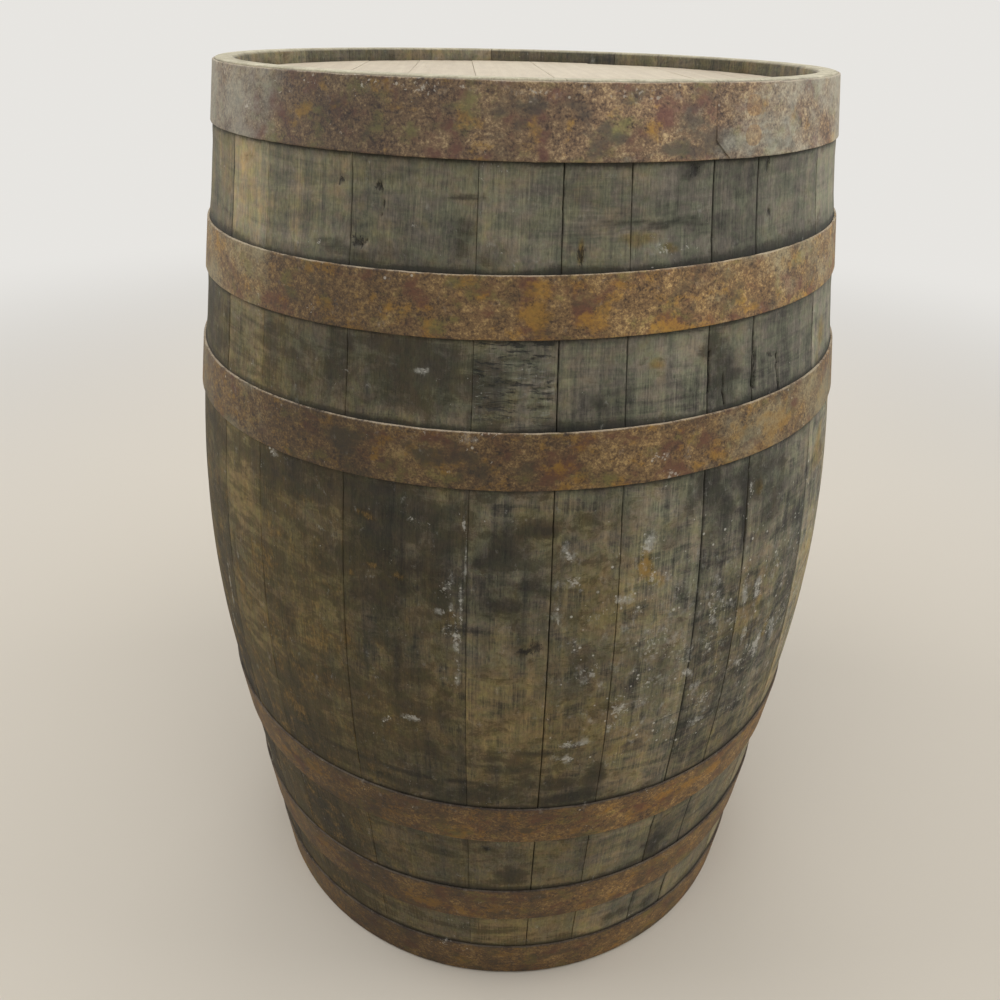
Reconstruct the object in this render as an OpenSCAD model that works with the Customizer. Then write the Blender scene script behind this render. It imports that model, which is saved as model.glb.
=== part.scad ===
// Oak barrel standing on end: bent staves held by six steel hoops, a boarded head in each end
// and a wooden bung in the bilge at the back. Millimetres, +Z up, base on z = 0, axis on Z.
// The front, as photographed, faces -Y.

/* [Barrel] */
// Height over the stave ends
barrel_h = 890; // [870:5:910]
// Outside diameter at the middle, the bilge
bilge_d = 661; // [650:1:670]
// Outside diameter at the two ends
end_d = 562; // [552:1:572]
// Radius to which the staves are bent in the middle; towards the ends they run straight
bend_r = 1170; // [950:10:1250]

/* [Staves] */
// Thickness of a stave
stave_t = 26; // [22:0.5:30]
// Thickness left at the end of a stave, after the inside has been trued for the head
chime_t = 17; // [14:0.5:19]
// Bevel on the inner edge of the stave ends
chime_bevel = 2.5; // [1:0.5:5]
// Gap at the seams of a barrel that has stood empty and dried, at the bilge
seam_gap = 0.1; // [0.05:0.05:0.5]
// How strongly the widths of the staves out of view differ from each other
width_spread = 0.25; // [0:0.05:0.4]

/* [Heads] */
// Depth of the head's outer face below the stave ends
recess = 12.5; // [10:0.5:16]
// Thickness of the head boards
head_t = 22; // [18:1:26]
// Depth of the croze, the groove that holds the head
croze_depth = 4.5; // [3:0.5:6]
// Width of the groove at its bottom
croze_w = 4; // [3:0.5:6]
// Width of the short bevel on the head's outer edge
outer_bevel = 6; // [4:0.5:10]
// Width of the long bevel on its inner edge
inner_bevel = 18; // [12:1:24]
// Turn of the top head's boards from the line of sight, degrees
top_head_turn = 4; // [-20:1:20]
// Turn of the bottom head's boards, degrees
bottom_head_turn = 52; // [0:1:90]
// Diameter of the dowels between head boards
dowel_d = 10; // [6:1:12]
// Length of those dowels
dowel_len = 34; // [24:2:40]

/* [Hoops] */
// Thickness of the hoop strip
hoop_t = 2.2; // [1.5:0.1:3]
// Length over which the ends of a strip lap, along the hoop
lap_len = 66; // [50:2:90]
// Length over which the outer end climbs onto the inner one
climb_len = 36; // [24:2:36]
// Corner cut off the free end of a lap
lap_corner = 12; // [6:1:16]
// Diameter of the rivet shanks
rivet_d = 8; // [5:0.5:10]
// Height of the rivet heads over the strip
rivet_proud = 1; // [0.6:0.2:3]

/* [Bung] */
// Diameter of the bung hole at the outside of its stave
bung_hole_d = 50; // [40:1:56]
// Taper of hole and bung: millimetres of length for one of diameter
bung_taper = 12; // [8:1:20]
// How far the bung stands out of its stave
bung_proud = 9; // [4:1:10]
// How far the bung reaches past the stave's inner face
bung_inside = 7; // [2:1:15]

/* [Hidden] */
$fn = 128;
// Play between pieces that seat in each other, and the bung's play in its hole
seat_play = 0.1;
bung_play = 0.3;
// Overlap that makes cutting shapes run past what they cut
past = 1;

end_r = end_d / 2;
bilge_r = bilge_d / 2;
half_h = barrel_h / 2;

// The stave's outer line: a straight run from the end, then an arc about the middle, tangent to it.
bulge = bilge_r - end_r;
run = sqrt(bulge * bulge - 2 * bulge * bend_r + half_h * half_h);
taper = asin(bend_r / norm([bend_r - bulge, half_h])) - atan2(bend_r - bulge, half_h);
bend_start_r = end_r + run * sin(taper);
bend_start_z = run * cos(taper);

// The trued inner wall of the chime, and the groove in it
wall_r = end_r - chime_t;
howel_h = (stave_t / cos(taper) - chime_t) / tan(taper) + past;
tongue_share = 0.48;
croze_z = recess + head_t * tongue_share;
head_tip_r = wall_r + croze_depth;
// Radius of the head's flat outer face, and of its flat inner face inside the longer bevel
head_face_r = wall_r - outer_bevel;
head_back_r = wall_r - inner_bevel;

// Staves: widths at the bilge of those on the front, left to right, and the place of the first seam
front_widths = [63, 97, 107, 66, 55, 74, 50, 102];
first_seam = 218;
bung_stave_w = 104;
staves_per_side = 9;
deg_per_mm = 180 / (PI * bilge_r);
seam_deg = seam_gap * deg_per_mm;
bung_at = 90;
front_n = len(front_widths);
bung_i = front_n + staves_per_side;
stave_n = bung_i + 1 + staves_per_side;
function sum(list, n) = n <= 0 ? 0 : list[n - 1] + sum(list, n - 1);
front_deg = sum(front_widths, front_n) * deg_per_mm;
bung_deg = bung_stave_w * deg_per_mm;
// Shares of the two hidden sides: a run of wider and narrower staves, from a wave sampled at even steps
wave_step = 140;
shares = [for (i = [0:staves_per_side - 1]) 1 + width_spread * cos(wave_step * i)];
right_deg = 360 + bung_at - bung_deg / 2 - first_seam - front_deg;
left_deg = 360 - front_deg - right_deg - bung_deg;
function side_deg(total) = [for (s = shares) s * total / sum(shares, staves_per_side)];
stave_deg = concat([for (w = front_widths) w * deg_per_mm], side_deg(right_deg), [bung_deg], side_deg(left_deg));

// Heads: places of the joints between boards, from the left, across the middle of the head
head_joints = [-165, -109, -47, 24, 92, 160, 210];
joint_n = len(head_joints);
dowel_near = 70;
dowel_stagger = 25;

// Hoops: name, on the top end, distance from that end, width, angle of the lap's free end
hoops = [
    ["top_chime_hoop", true, 2, 50, 298],
    ["top_quarter_hoop", true, 128, 45, 62],
    ["top_bilge_hoop", true, 242, 44, 118],
    ["bottom_bilge_hoop", false, 231, 47, 66],
    ["bottom_quarter_hoop", false, 102, 47, 128],
    ["bottom_chime_hoop", false, 2, 47, 95]
];

// Distance of the lap's outer layer from the staves, and the places of its rivets across the strip
lap_off = hoop_t + seat_play;
rivet_places = [0.3, 0.7];

// Bung: the hole narrows inwards at the same taper
bung_slope = 1 / (2 * bung_taper);
bung_len = bung_inside + stave_t + bung_proud;

oak = "#6f6a55";
head_oak = "#b9a797";
rusty = "#6b4a36";
bung_wood = "#a98d63";

function stave_name(i) = i == bung_i ? "bung_stave" : str("stave_", i < 9 ? "0" : "", i + 1);
function board_name(end, j) = str(end, j == 0 ? "_cant_left" : j == joint_n ? "_cant_right" : str("_board_", j));
board_ids = [0:joint_n];
stave_ids = [0:stave_n - 1];

// Puts a shape that is drawn at the bottom end on the top end instead, upside down
module at_end(top) {
    translate([0, 0, top ? barrel_h : 0])
        mirror([0, 0, top ? 1 : 0])
            children();
}

// Half section of the barrel as a solid body, up to a surface that lies inset inside the staves' outer face
module body_section(inset) {
    r_bend = bend_start_r - inset * cos(taper);
    z_bend = bend_start_z + inset * sin(taper);
    r_end = r_bend - z_bend * tan(taper);
    polygon([
        [0, 0], [r_end, 0], [r_bend, z_bend],
        [r_bend, barrel_h - z_bend], [r_end, barrel_h], [0, barrel_h]
    ]);
    intersection() {
        translate([bilge_r - bend_r, half_h])
            circle(bend_r - inset, $fn = 720);
        translate([r_bend - past, z_bend])
            square([bend_r, barrel_h - 2 * z_bend]);
    }
}

// What is taken out of a stave at its lower end: the howel's true round wall, the bevel and the croze
module chime_cut() {
    translate([0, -past])
        square([wall_r, howel_h + past]);
    polygon([
        [wall_r - past, -past], [wall_r + chime_bevel + past, -past], [wall_r - past, chime_bevel + past]
    ]);
    polygon(head_edge(seat_play));
}

// Edge of the head: a blunt tongue between the short outer bevel and the long inner one
function head_edge(play) = [
    [head_face_r, recess - play],
    [head_tip_r + play, croze_z - croze_w / 2 - play],
    [head_tip_r + play, croze_z + croze_w / 2 + play],
    [head_back_r, recess + head_t + play]
];

// Long section of every stave: an even board, bent, with both ends worked for the heads
module stave_section() {
    difference() {
        body_section(0);
        body_section(stave_t);
        chime_cut();
        translate([0, barrel_h])
            mirror([0, 1])
                chime_cut();
    }
}

// One stave: the section swept through its own width, so its edges lie in planes through the axis
function stave_start(i) = first_seam + sum(stave_deg, i) + seam_deg / 2;
module stave(i) {
    color(oak)
        difference() {
            rotate_extrude(start = stave_start(i), angle = stave_deg[i] - seam_deg, $fn = 360)
                stave_section();
            if (i == bung_i)
                bung_hole();
        }
}

module bung_hole() {
    depth = 2 * stave_t;
    rotate([0, 0, bung_at])
        translate([bilge_r - depth, 0, half_h])
            rotate([0, 90, 0])
                cylinder(
                    h = 2 * depth,
                    d1 = bung_hole_d - 2 * depth * bung_slope,
                    d2 = bung_hole_d + 2 * depth * bung_slope
                );
}

// Whole head, drawn in the bottom end
module head_disc() {
    rotate_extrude($fn = 360)
        polygon(concat([[0, recess]], head_edge(0), [[0, recess + head_t]]));
}

// Dowels that cross joint k, in the middle of the boards' thickness
module joint_dowels(k, d, len) {
    reach = dowel_near + dowel_stagger * (k % 2);
    for (side = [-1, 1])
        translate([head_joints[k], side * reach, recess + head_t / 2])
            rotate([0, 90, 0])
                cylinder(h = len, d = d, center = true, $fn = 32);
}

// Board j of a head, between two straight joints; the first and last are the half-moon cants
module head_board(j, turn) {
    from = j == 0 ? -end_r : head_joints[j - 1];
    to = j == joint_n ? end_r : head_joints[j];
    color(head_oak)
        rotate([0, 0, turn])
            difference() {
                intersection() {
                    head_disc();
                    translate([from, -end_r, 0])
                        cube([to - from, end_d, recess + head_t + past]);
                }
                for (k = [max(j - 1, 0):min(j, joint_n - 1)])
                    joint_dowels(k, dowel_d + 2 * seat_play, dowel_len + 2 * seat_play);
            }
}

module head_dowels() {
    color(bung_wood)
        for (top = [true, false])
            at_end(top)
                rotate([0, 0, top ? top_head_turn : bottom_head_turn])
                    for (k = [0:joint_n - 1])
                        joint_dowels(k, dowel_d, dowel_len);
}

// Point at height z over the lower end, off outside the staves' straight run
function face_point(z, off) = [
    end_r + z * tan(taper) + off * cos(taper),
    z - off * sin(taper)
];

// Section of a strip of width w that lies off outside the staves, from height z on, less inset all round
function strip_outline(z, w, off, inset = 0) = [
    face_point(z + inset, off + inset), face_point(z + w - inset, off + inset),
    face_point(z + w - inset, off + hoop_t - inset), face_point(z + inset, off + hoop_t - inset)
];
module strip_section(z, w, off) {
    polygon(strip_outline(z, w, off));
}

function lap_deg(z) = lap_len / face_point(z, 0)[0] * 180 / PI;
function climb_deg(z) = climb_len / face_point(z, 0)[0] * 180 / PI;

// Hoop: a strip bent to a cone round the staves. Its outer end laps over the inner end, clipped at the
// corners, and behind the lap it runs straight from the face of the staves up onto the inner end.
module hoop(h) {
    z = h[2];
    w = h[3];
    free_end = h[4];
    lap_end = free_end + lap_deg(z);
    climb = climb_deg(z);
    color(rusty)
        at_end(h[1])
            difference() {
                union() {
                    rotate_extrude(start = lap_end + climb, angle = 360 - climb, $fn = 360)
                        strip_section(z, w, 0);
                    climb(z, w, lap_end, climb);
                    lap(z, w, free_end);
                }
                lap_rivets(z, w, free_end, rivet_d + 2 * seat_play, false);
            }
}

module lap(z, w, free_end) {
    difference() {
        rotate_extrude(start = free_end, angle = lap_deg(z), $fn = 360)
            strip_section(z, w, lap_off);
        for (edge = [z, z + w])
            rotate([0, 0, free_end])
                translate([face_point(edge, lap_off)[0], 0, edge])
                    rotate([45, 0, 0])
                        cube([8 * hoop_t, lap_corner * sqrt(2), lap_corner * sqrt(2)], center = true);
    }
}

// The straight stretch between the strip's section on the lap and its section on the staves. It is a hair
// slimmer than the strip and runs a little way into it at both ends.
module climb(z, w, from, angle) {
    slimmer = 0.2;
    into = 0.6;
    function turned(p, a) = [p[0] * cos(a), p[0] * sin(a), p[1]];
    corners = concat(
        [for (p = strip_outline(z, w, lap_off, slimmer)) turned(p, from - into)],
        [for (p = strip_outline(z, w, 0, slimmer)) turned(p, from + angle + into)]
    );
    sides = [for (k = [0:3]) each [[k, (k + 1) % 4 + 4, (k + 1) % 4], [k, k + 4, (k + 1) % 4 + 4]]];
    polyhedron(corners, concat([[0, 1, 2], [0, 2, 3], [6, 5, 4], [7, 6, 4]], sides));
}

// The two rivets of a lap, or the holes for them
module lap_rivets(z, w, free_end, d, headed) {
    for (share = rivet_places) {
        foot = face_point(z + share * w, 0);
        rotate([0, 0, free_end + lap_deg(z) / 2])
            translate([foot[0], 0, foot[1]])
                rotate([0, 90 + taper, 0])
                    if (headed)
                        rivet(d);
                    else
                        translate([0, 0, -past])
                            cylinder(h = 3 * hoop_t + past, d = d, $fn = 32);
    }
}

// Rivet: shank through both layers and a low round head, a cap of a large ball
module rivet(d) {
    head_r = d;
    ball_r = (head_r * head_r + rivet_proud * rivet_proud) / (2 * rivet_proud);
    translate([0, 0, seat_play])
        cylinder(h = lap_off + hoop_t, d = d, $fn = 32);
    translate([0, 0, lap_off + hoop_t])
        intersection() {
            translate([0, 0, rivet_proud - ball_r])
                sphere(ball_r);
            cylinder(h = 2 * rivet_proud, r = 2 * head_r);
        }
}

module hoop_rivets() {
    color(rusty)
        for (h = hoops)
            at_end(h[1])
                lap_rivets(h[2], h[3], h[4], rivet_d, true);
}

// Bung: a turned plug with the hole's taper, its edges broken
module bung() {
    edge = 3;
    tip_r = bung_hole_d / 2 - bung_play - (bung_len - bung_proud) * bung_slope;
    top_r = bung_hole_d / 2 - bung_play + bung_proud * bung_slope;
    color(bung_wood)
        rotate([0, 0, bung_at])
            translate([bilge_r - bung_len + bung_proud, 0, half_h])
                rotate([0, 90, 0])
                    rotate_extrude()
                        polygon([
                            [0, 0], [tip_r - edge, 0], [tip_r, edge],
                            [top_r, bung_len - edge], [top_r - edge, bung_len], [0, bung_len]
                        ]);
}

for (i = stave_ids)
    stave(i);
for (j = board_ids)
    at_end(true) head_board(j, top_head_turn);
for (j = board_ids)
    at_end(false) head_board(j, bottom_head_turn);
head_dowels();
for (h = hoops)
    hoop(h);
hoop_rivets();
bung();
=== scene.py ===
"""Looks of an old oak barrel that stands on end: weathered staves, rusty hoops, boarded heads and a bung.

Metres, +Z up, the barrel's axis on Z and its base on z = 0. The front, as photographed, faces -Y.
Every piece is a surface on a grid of numpy points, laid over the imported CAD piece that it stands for.
"""
import math
from collections import namedtuple

import bmesh
import bpy
import numpy as np
from mathutils import Matrix, Vector


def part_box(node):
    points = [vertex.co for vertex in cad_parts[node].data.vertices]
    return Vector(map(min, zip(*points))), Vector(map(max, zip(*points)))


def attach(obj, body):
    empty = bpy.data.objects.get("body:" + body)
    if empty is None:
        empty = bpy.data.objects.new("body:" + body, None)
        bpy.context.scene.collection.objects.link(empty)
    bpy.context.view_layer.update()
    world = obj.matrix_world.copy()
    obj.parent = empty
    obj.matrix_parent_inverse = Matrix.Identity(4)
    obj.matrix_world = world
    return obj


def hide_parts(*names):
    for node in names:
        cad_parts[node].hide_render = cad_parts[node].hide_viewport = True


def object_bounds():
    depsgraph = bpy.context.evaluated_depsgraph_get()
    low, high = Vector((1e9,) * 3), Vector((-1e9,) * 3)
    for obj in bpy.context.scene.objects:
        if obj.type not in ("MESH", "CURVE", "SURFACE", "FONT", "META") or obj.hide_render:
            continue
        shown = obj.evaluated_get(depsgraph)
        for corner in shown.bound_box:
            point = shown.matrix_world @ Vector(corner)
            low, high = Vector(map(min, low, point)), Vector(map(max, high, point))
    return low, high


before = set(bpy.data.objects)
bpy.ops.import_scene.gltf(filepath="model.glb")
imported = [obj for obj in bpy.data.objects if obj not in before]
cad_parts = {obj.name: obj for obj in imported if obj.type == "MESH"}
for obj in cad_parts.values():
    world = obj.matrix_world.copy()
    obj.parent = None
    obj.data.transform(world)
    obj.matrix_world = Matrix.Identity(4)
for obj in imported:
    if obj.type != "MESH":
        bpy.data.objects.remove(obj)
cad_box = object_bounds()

MM = 0.001
screen_gamma = 2.2

# Barrel: the staves' outer line is a straight run from each end and an arc about the middle
barrel_h = cad_box[1].z
half_h = barrel_h / 2
bilge_r = 330.5 * MM
end_r = 281 * MM
bend_r = 1170 * MM
stave_t = 26 * MM
bulge = bilge_r - end_r
straight_run = math.sqrt(bulge ** 2 - 2 * bulge * bend_r + half_h ** 2)
taper = math.asin(bend_r / math.hypot(bend_r - bulge, half_h)) - math.atan2(bend_r - bulge, half_h)
bend_start_z = straight_run * math.cos(taper)

# Chime: the trued wall at the stave ends, its bevel and the groove that holds the head
wall_r = 264 * MM
chime_bevel = 2.5 * MM
chime_arris = 1.6 * MM
howel_top = 68.5 * MM
croze_low = 17.4 * MM
croze_high = 27 * MM

# Heads: flat faces with a short outer and a long inner bevel to a blunt tongue
recess = 12.5 * MM
head_t = 22 * MM
head_tip_r = 268.5 * MM
head_face_r = 258 * MM
head_back_r = 246 * MM
tongue_w = 4 * MM
tongue_z = recess + 0.48 * head_t
head_turns = {"top": 4, "bottom": 52}
board_gap = 0.12 * MM
board_arris = 0.5 * MM
board_warp = 0.5 * MM
board_grain = 0.3 * MM
board_level = 0.6 * MM
board_pitch = 4 * MM
board_grain_step = 0.41
board_ids = ["cant_left", *(f"board_{k}" for k in range(1, 7)), "cant_right"]

# Bung and its hole, at mid height in the stave at the back
bung_hole_r = 25 * MM
bung_play = 0.3 * MM
bung_slope = 1 / 24
bung_proud = 9 * MM
bung_len = 42 * MM
bung_edge = 3 * MM
bung_bruise = 1.1 * MM
bung_at = math.radians(90)

# Staves in their order round the barrel, counted from the left edge of the front, and grid steps in mm
stave_n = 27
bung_stave_no = 18
stave_nodes = ["bung_stave" if k == bung_stave_no else f"stave_{k:02d}" for k in range(1, stave_n + 1)]
stave_warp = 0.7 * MM
stave_grain = 0.35 * MM
stave_level = 0.5 * MM
stave_grain_step = 0.37
front_pitch = 2.2
back_pitch = 3.6
close_pitches = {2: (1.7, 1.9), 3: (1.6, 1.5), 6: (1.1, 1.8), 7: (1.4, 1.9)}
StaveFace = namedtuple(
    "StaveFace", "no angle z aside rightward height across from_edge from_end gap chip split checks")

# Hoops: CAD node, lap's free end in degrees from +X, rise of the right side in mm, finish, lightness
Hoop = namedtuple("Hoop", "node lap_deg rise_mm finish light")
hoops = [
    Hoop("top_chime_hoop", 298, 0.2, "chime", 1.05),
    Hoop("top_quarter_hoop", 62, 7.9, "upper", 1.04),
    Hoop("top_bilge_hoop", 118, 7.0, "upper", 0.89),
    Hoop("bottom_bilge_hoop", 66, 0.7, "lower", 0.98),
    Hoop("bottom_quarter_hoop", 128, 9.1, "lower", 0.95),
    Hoop("bottom_chime_hoop", 95, 0.8, "lower", 0.94),
]
lap_len = 66 * MM
climb_len = 36 * MM
lap_corner = 12 * MM
hoop_worn_t = 1.8 * MM
hoop_arris = 0.7 * MM
hoop_sway = 0.5 * MM
hoop_pitch = 3.2 * MM
lap_off = hoop_worn_t + 0.1 * MM
# Share of dust, and of the painted side light that goes with it, on each finish
dusty_and_lit = {"chime": 1.2, "upper": 1.0, "lower": 0.4}
rivet_places = [0.3, 0.7]
rivet_r = 8 * MM
rivet_proud = 0.3 * MM
rivet_sunk = 0.3 * MM

# Marks on the front: degrees to the right of it, height, half width and half height in mm, and strength
soot_marks = [
    (-17, 545, 62, 66, 0.9), (-16.7, 550, 18, 52, 1.0), (-20, 580, 34, 16, 0.8), (-12, 535, 30, 34, 0.7),
    (-18, 512, 20, 18, 0.9), (-11, 508, 22, 14, 0.6), (-17, 440, 16, 46, 0.55),
    (-14, 372, 66, 70, 0.4), (-16, 392, 14, 30, 0.5), (-18.5, 505, 26, 40, 0.8),
    (-38, 582, 60, 18, 0.9), (-26, 590, 60, 16, 0.9), (-0.7, 562, 18, 26, 0.8), (3, 570, 26, 8, 0.85),
    (-2.5, 545, 22, 7, 0.7), (3, 521, 24, 8, 0.7), (-2.5, 508, 26, 9, 0.8), (29, 590, 30, 34, 0.75),
    (31, 572, 26, 40, 0.5), (23, 430, 14, 40, 0.5), (22.5, 562, 12, 18, 0.5),
    (36.6, 560, 5, 60, 0.9), (40, 590, 40, 26, 0.7), (43, 555, 24, 34, 0.55),
    (-2, 344, 28, 8, 0.6), (1, 330, 30, 8, 0.7), (6, 312, 36, 12, 0.75), (-4, 296, 44, 14, 1.1),
    (9, 290, 44, 11, 1.2), (14, 318, 18, 22, 0.8), (13, 300, 16, 14, 0.8), (25, 276, 30, 14, 0.6),
    (-19, 292, 40, 8, 0.8), (32, 678, 24, 36, 0.7), (29, 700, 16, 20, 0.6), (-3, 690, 24, 20, 0.45),
    (11, 672, 18, 10, 0.6), (-26, 690, 16, 44, 0.6), (-16, 692, 60, 34, 0.7), (-18, 770, 70, 10, 0.7),
    (-8, 786, 16, 28, 0.7), (22, 795, 34, 5, 0.8), (17, 815, 26, 6, 0.5), (24.5, 834, 18, 12, 0.8),
    (-33, 760, 50, 8, 0.6), (1.4, 172, 24, 14, 0.9), (30, 182, 20, 26, 0.95), (24, 74, 30, 24, 0.7),
    (31, 66, 26, 18, 0.7), (-31, 156, 24, 16, 0.6), (-11, 204, 20, 12, 0.5), (-22, 315, 56, 50, 0.5),
    (-3.4, 772, 16, 14, 0.6), (-17, 672, 60, 14, 0.6),
]
warm_marks = [
    (19.4, 532, 10, 17, 1.4), (21, 520, 12, 12, 0.8), (12, 520, 34, 14, 0.6), (-19, 568, 15, 5, 1.1),
    (-19.7, 525, 8, 5, 1.1), (-15.9, 518, 12, 6, 0.9), (-23, 514, 5, 6, 1.0), (-9, 486, 20, 16, 0.8),
    (-31.2, 488, 6, 8, 0.9), (-28.9, 466, 7, 12, 0.9), (-25.3, 491, 6, 6, 0.9), (-28, 470, 36, 66, 0.66),
    (-47, 440, 44, 120, 0.72), (-38, 360, 64, 60, 0.7), (17, 788, 20, 8, 0.7), (21, 779, 12, 5, 0.9),
    (19, 696, 12, 5, 0.75), (-14, 735, 30, 14, 0.5), (40, 440, 40, 60, 0.6), (4, 415, 44, 60, 0.5),
    (-40, 230, 60, 60, 0.6), (8.5, 780, 4, 12, 0.9), (39, 575, 8, 12, 0.8), (46, 420, 10, 16, 0.9),
]
scuff_marks = [
    (19.4, 556, 10, 13, 1.1), (20.5, 521, 4, 7, 1.0), (16.3, 504, 11, 8, 1.1), (19, 494, 10, 7, 0.9),
    (17, 478, 10, 8, 0.8), (7.2, 554, 12, 9, 0.9), (8, 527, 14, 8, 0.85), (7, 505, 8, 20, 0.7),
    (28, 413, 8, 7, 1.0), (22, 418, 9, 8, 0.9), (38, 482, 7, 22, 0.95), (41.9, 475, 9, 12, 1.1),
    (39.4, 434, 8, 14, 1.0), (44, 402, 11, 16, 1.0), (39, 397, 8, 9, 1.0), (49, 398, 9, 24, 0.9),
    (32, 350, 11, 9, 1.1), (30, 392, 11, 10, 0.9), (32, 375, 9, 9, 0.8), (10, 433, 16, 12, 0.7),
    (9, 464, 12, 12, 0.7), (-14, 379, 12, 5, 1.0), (-18, 371, 7, 5, 0.9), (18, 391, 15, 9, 0.8),
    (16, 372, 12, 8, 0.8), (10, 358, 18, 7, 0.9), (9, 343, 12, 7, 0.8), (37.4, 578, 6, 14, 0.9),
    (-55, 408, 3, 34, 1.1), (-57.6, 370, 3, 22, 1.0), (-13.4, 689, 11, 3.5, 1.0), (-14, 572, 5, 3, 0.9),
    (-6.4, 574, 2.4, 8, 1.2), (-6.0, 545, 1.3, 40, 1.1), (-6.5, 505, 2.6, 18, 1.1), (-7, 470, 5, 24, 1.0),
    (-7, 436, 4, 20, 0.8), (-38, 595, 11, 4, 1.0), (21, 779, 26, 7, 0.3), (-2, 778, 14, 6, 0.35),
    (-10, 497, 10, 5, 0.8), (3, 690, 20, 14, 0.4), (-8, 500, 9, 56, 0.45), (30.5, 440, 16, 60, 0.5),
    (3.6, 453, 4, 3, 0.9),
]
# Knots and gouges, with their depth in mm in the last place
pit_marks = [
    (-19.8, 817, 3, 4, 0.9), (-22.4, 777, 6, 4, 1.0), (-25.8, 820, 4, 3, 1.0), (2.4, 460, 10, 5, 1.4),
    (3.6, 466, 4, 7, 1.2), (40.5, 686, 5, 2, 0.8), (39.6, 798, 3, 4, 1.2), (38.8, 831, 2, 6, 1.0),
    (-2.6, 215, 4, 4, 1.2), (24.7, 833, 5, 4, 1.4), (8.6, 775, 2, 8, 1.2),
]
# Splits: half width and depth in mm, then the points of the line that they follow, by angle and height
split_lines = [
    (0.9, 2.0, [(28.2, 700), (28.3, 668)]),
    (0.7, 1.6, [(30.9, 680), (31.0, 668), (31.2, 655)]),
    (1.0, 1.8, [(42.6, 684), (42.9, 668), (43.0, 654)]),
    (1.0, 1.8, [(37.1, 700), (37.2, 662)]),
    (0.7, 1.6, [(-20.0, 819), (-19.3, 812), (-19.2, 804), (-19.5, 797)]),
    (0.8, 1.6, [(-23.2, 776), (-22.4, 774), (-21.5, 779)]),
    (0.8, 1.4, [(8.8, 783), (8.6, 771)]),
]
# Lines of dirt where a hoop once sat: height, first and last angle, half width, strength
ghost_lines = [
    (309, -78, -3, 3.2, 1.2), (350, -6, 11, 2.6, 0.7), (333, -7, 13, 2.8, 0.8), (580, -64, -8, 7, 0.7),
    (798, 11, 27, 2.6, 0.8), (812, -12, -4, 1.6, 0.6), (526, -5, 6, 3, 0.5), (498, -5, 5, 4, 0.6),
    (335, 70, 190, 2.4, 0.7), (566, 90, 240, 6, 0.5), (800, 120, 170, 2.6, 0.7), (196, 100, 260, 3, 0.6),
]
# Marks on the hoops, by angle and height as above: ochre, dark, maroon, scraped and pale patches
ochre_marks = [
    (6, 850, 8, 15, 1.0), (1.5, 856, 9, 14, 0.9), (-8, 857, 14, 16, 0.7), (-33, 862, 9, 8, 0.9),
    (-29, 852, 12, 10, 0.5), (18, 860, 14, 6, 0.7), (13, 846, 16, 6, 0.6), (37, 864, 8, 16, 0.7),
    (3, 739, 12, 18, 1.0), (-16.6, 730, 13, 16, 1.0), (-22, 736, 16, 14, 0.5), (25, 722, 30, 7, 1.0),
    (12, 732, 26, 10, 0.5), (-26, 616, 34, 10, 0.3), (-19, 614, 20, 8, 0.5), (34, 630, 60, 16, 0.7),
    (26, 612, 16, 8, 0.9), (42, 632, 26, 12, 0.8), (-18, 250, 60, 9, 0.7), (8, 262, 40, 6, 0.5),
    (30, 258, 50, 14, 0.8),
    (-14, 116, 50, 9, 0.8), (1, 120, 26, 10, 0.9), (-38, 258, 40, 8, 0.7), (-30, 240, 26, 6, 0.7),
    (-36, 124, 44, 9, 0.7), (-44, 246, 20, 8, 0.6),
]
hoop_dark_marks = [
    (8, 868, 10, 5, 0.8), (10.5, 862, 12, 6, 0.9), (13, 855, 8, 5, 0.7), (19, 850, 10, 6, 0.5),
    (24, 848, 12, 6, 0.8), (23, 865, 8, 18, 0.6), (4.7, 247, 11, 7, 1.2), (33, 742, 8, 14, 0.7),
    (-25, 628, 24, 12, 1.0), (-12, 628, 30, 12, 0.6), (0, 626, 60, 14, 0.5), (-30, 742, 16, 10, 0.5),
    (-4, 870, 14, 8, 0.5), (2, 874, 10, 6, 0.7), (23, 845, 34, 8, 0.9), (-40, 255, 30, 10, 0.5),
    (31, 852, 56, 13, 0.7), (41, 848, 30, 10, 0.6),
]
maroon_marks = [
    (2.3, 846, 7, 11, 1.0), (-2, 866, 9, 9, 0.8), (-5, 842, 8, 7, 0.7), (9, 735, 10, 12, 0.5),
    (-8, 745, 12, 9, 0.6),
    (8, 618, 16, 8, 0.5), (24, 256, 12, 9, 0.9), (-40, 250, 16, 9, 0.6), (11, 121, 12, 7, 0.6),
]
hoop_scuff_marks = [
    (-48, 862, 12, 14, 0.9), (20.5, 628, 12, 7, 1.1), (22, 612, 8, 6, 1.0), (25, 622, 6, 5, 0.8),
    (-6, 642, 9, 4, 0.9), (2, 882, 40, 4, 0.8), (-20, 884, 60, 3, 0.7), (20, 884, 60, 3, 0.7),
    (-13, 714, 10, 3, 0.8), (-19, 718, 6, 4, 0.8), (34, 738, 5, 6, 0.8),
]
hoop_pale_marks = [
    (12, 872, 74, 22, 1.0), (8, 852, 34, 16, 0.9), (-5, 874, 24, 10, 0.5), (43, 740, 14, 14, 0.4),
]
# Out of the front's view: angles of the marks, and least and most angle, height, step and drop of the splits
hidden_sides = (60, 300)
hidden_split_ranges = [(65, 90, -0.6, 10), (295, 830, 0.6, 26)]
hidden_split_size = (0.9, 1.6)
# Side to side play of a split's line in mm, and push on a mark's outline in its half sizes
split_wander = 3.4
mark_push = 0.8
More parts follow.
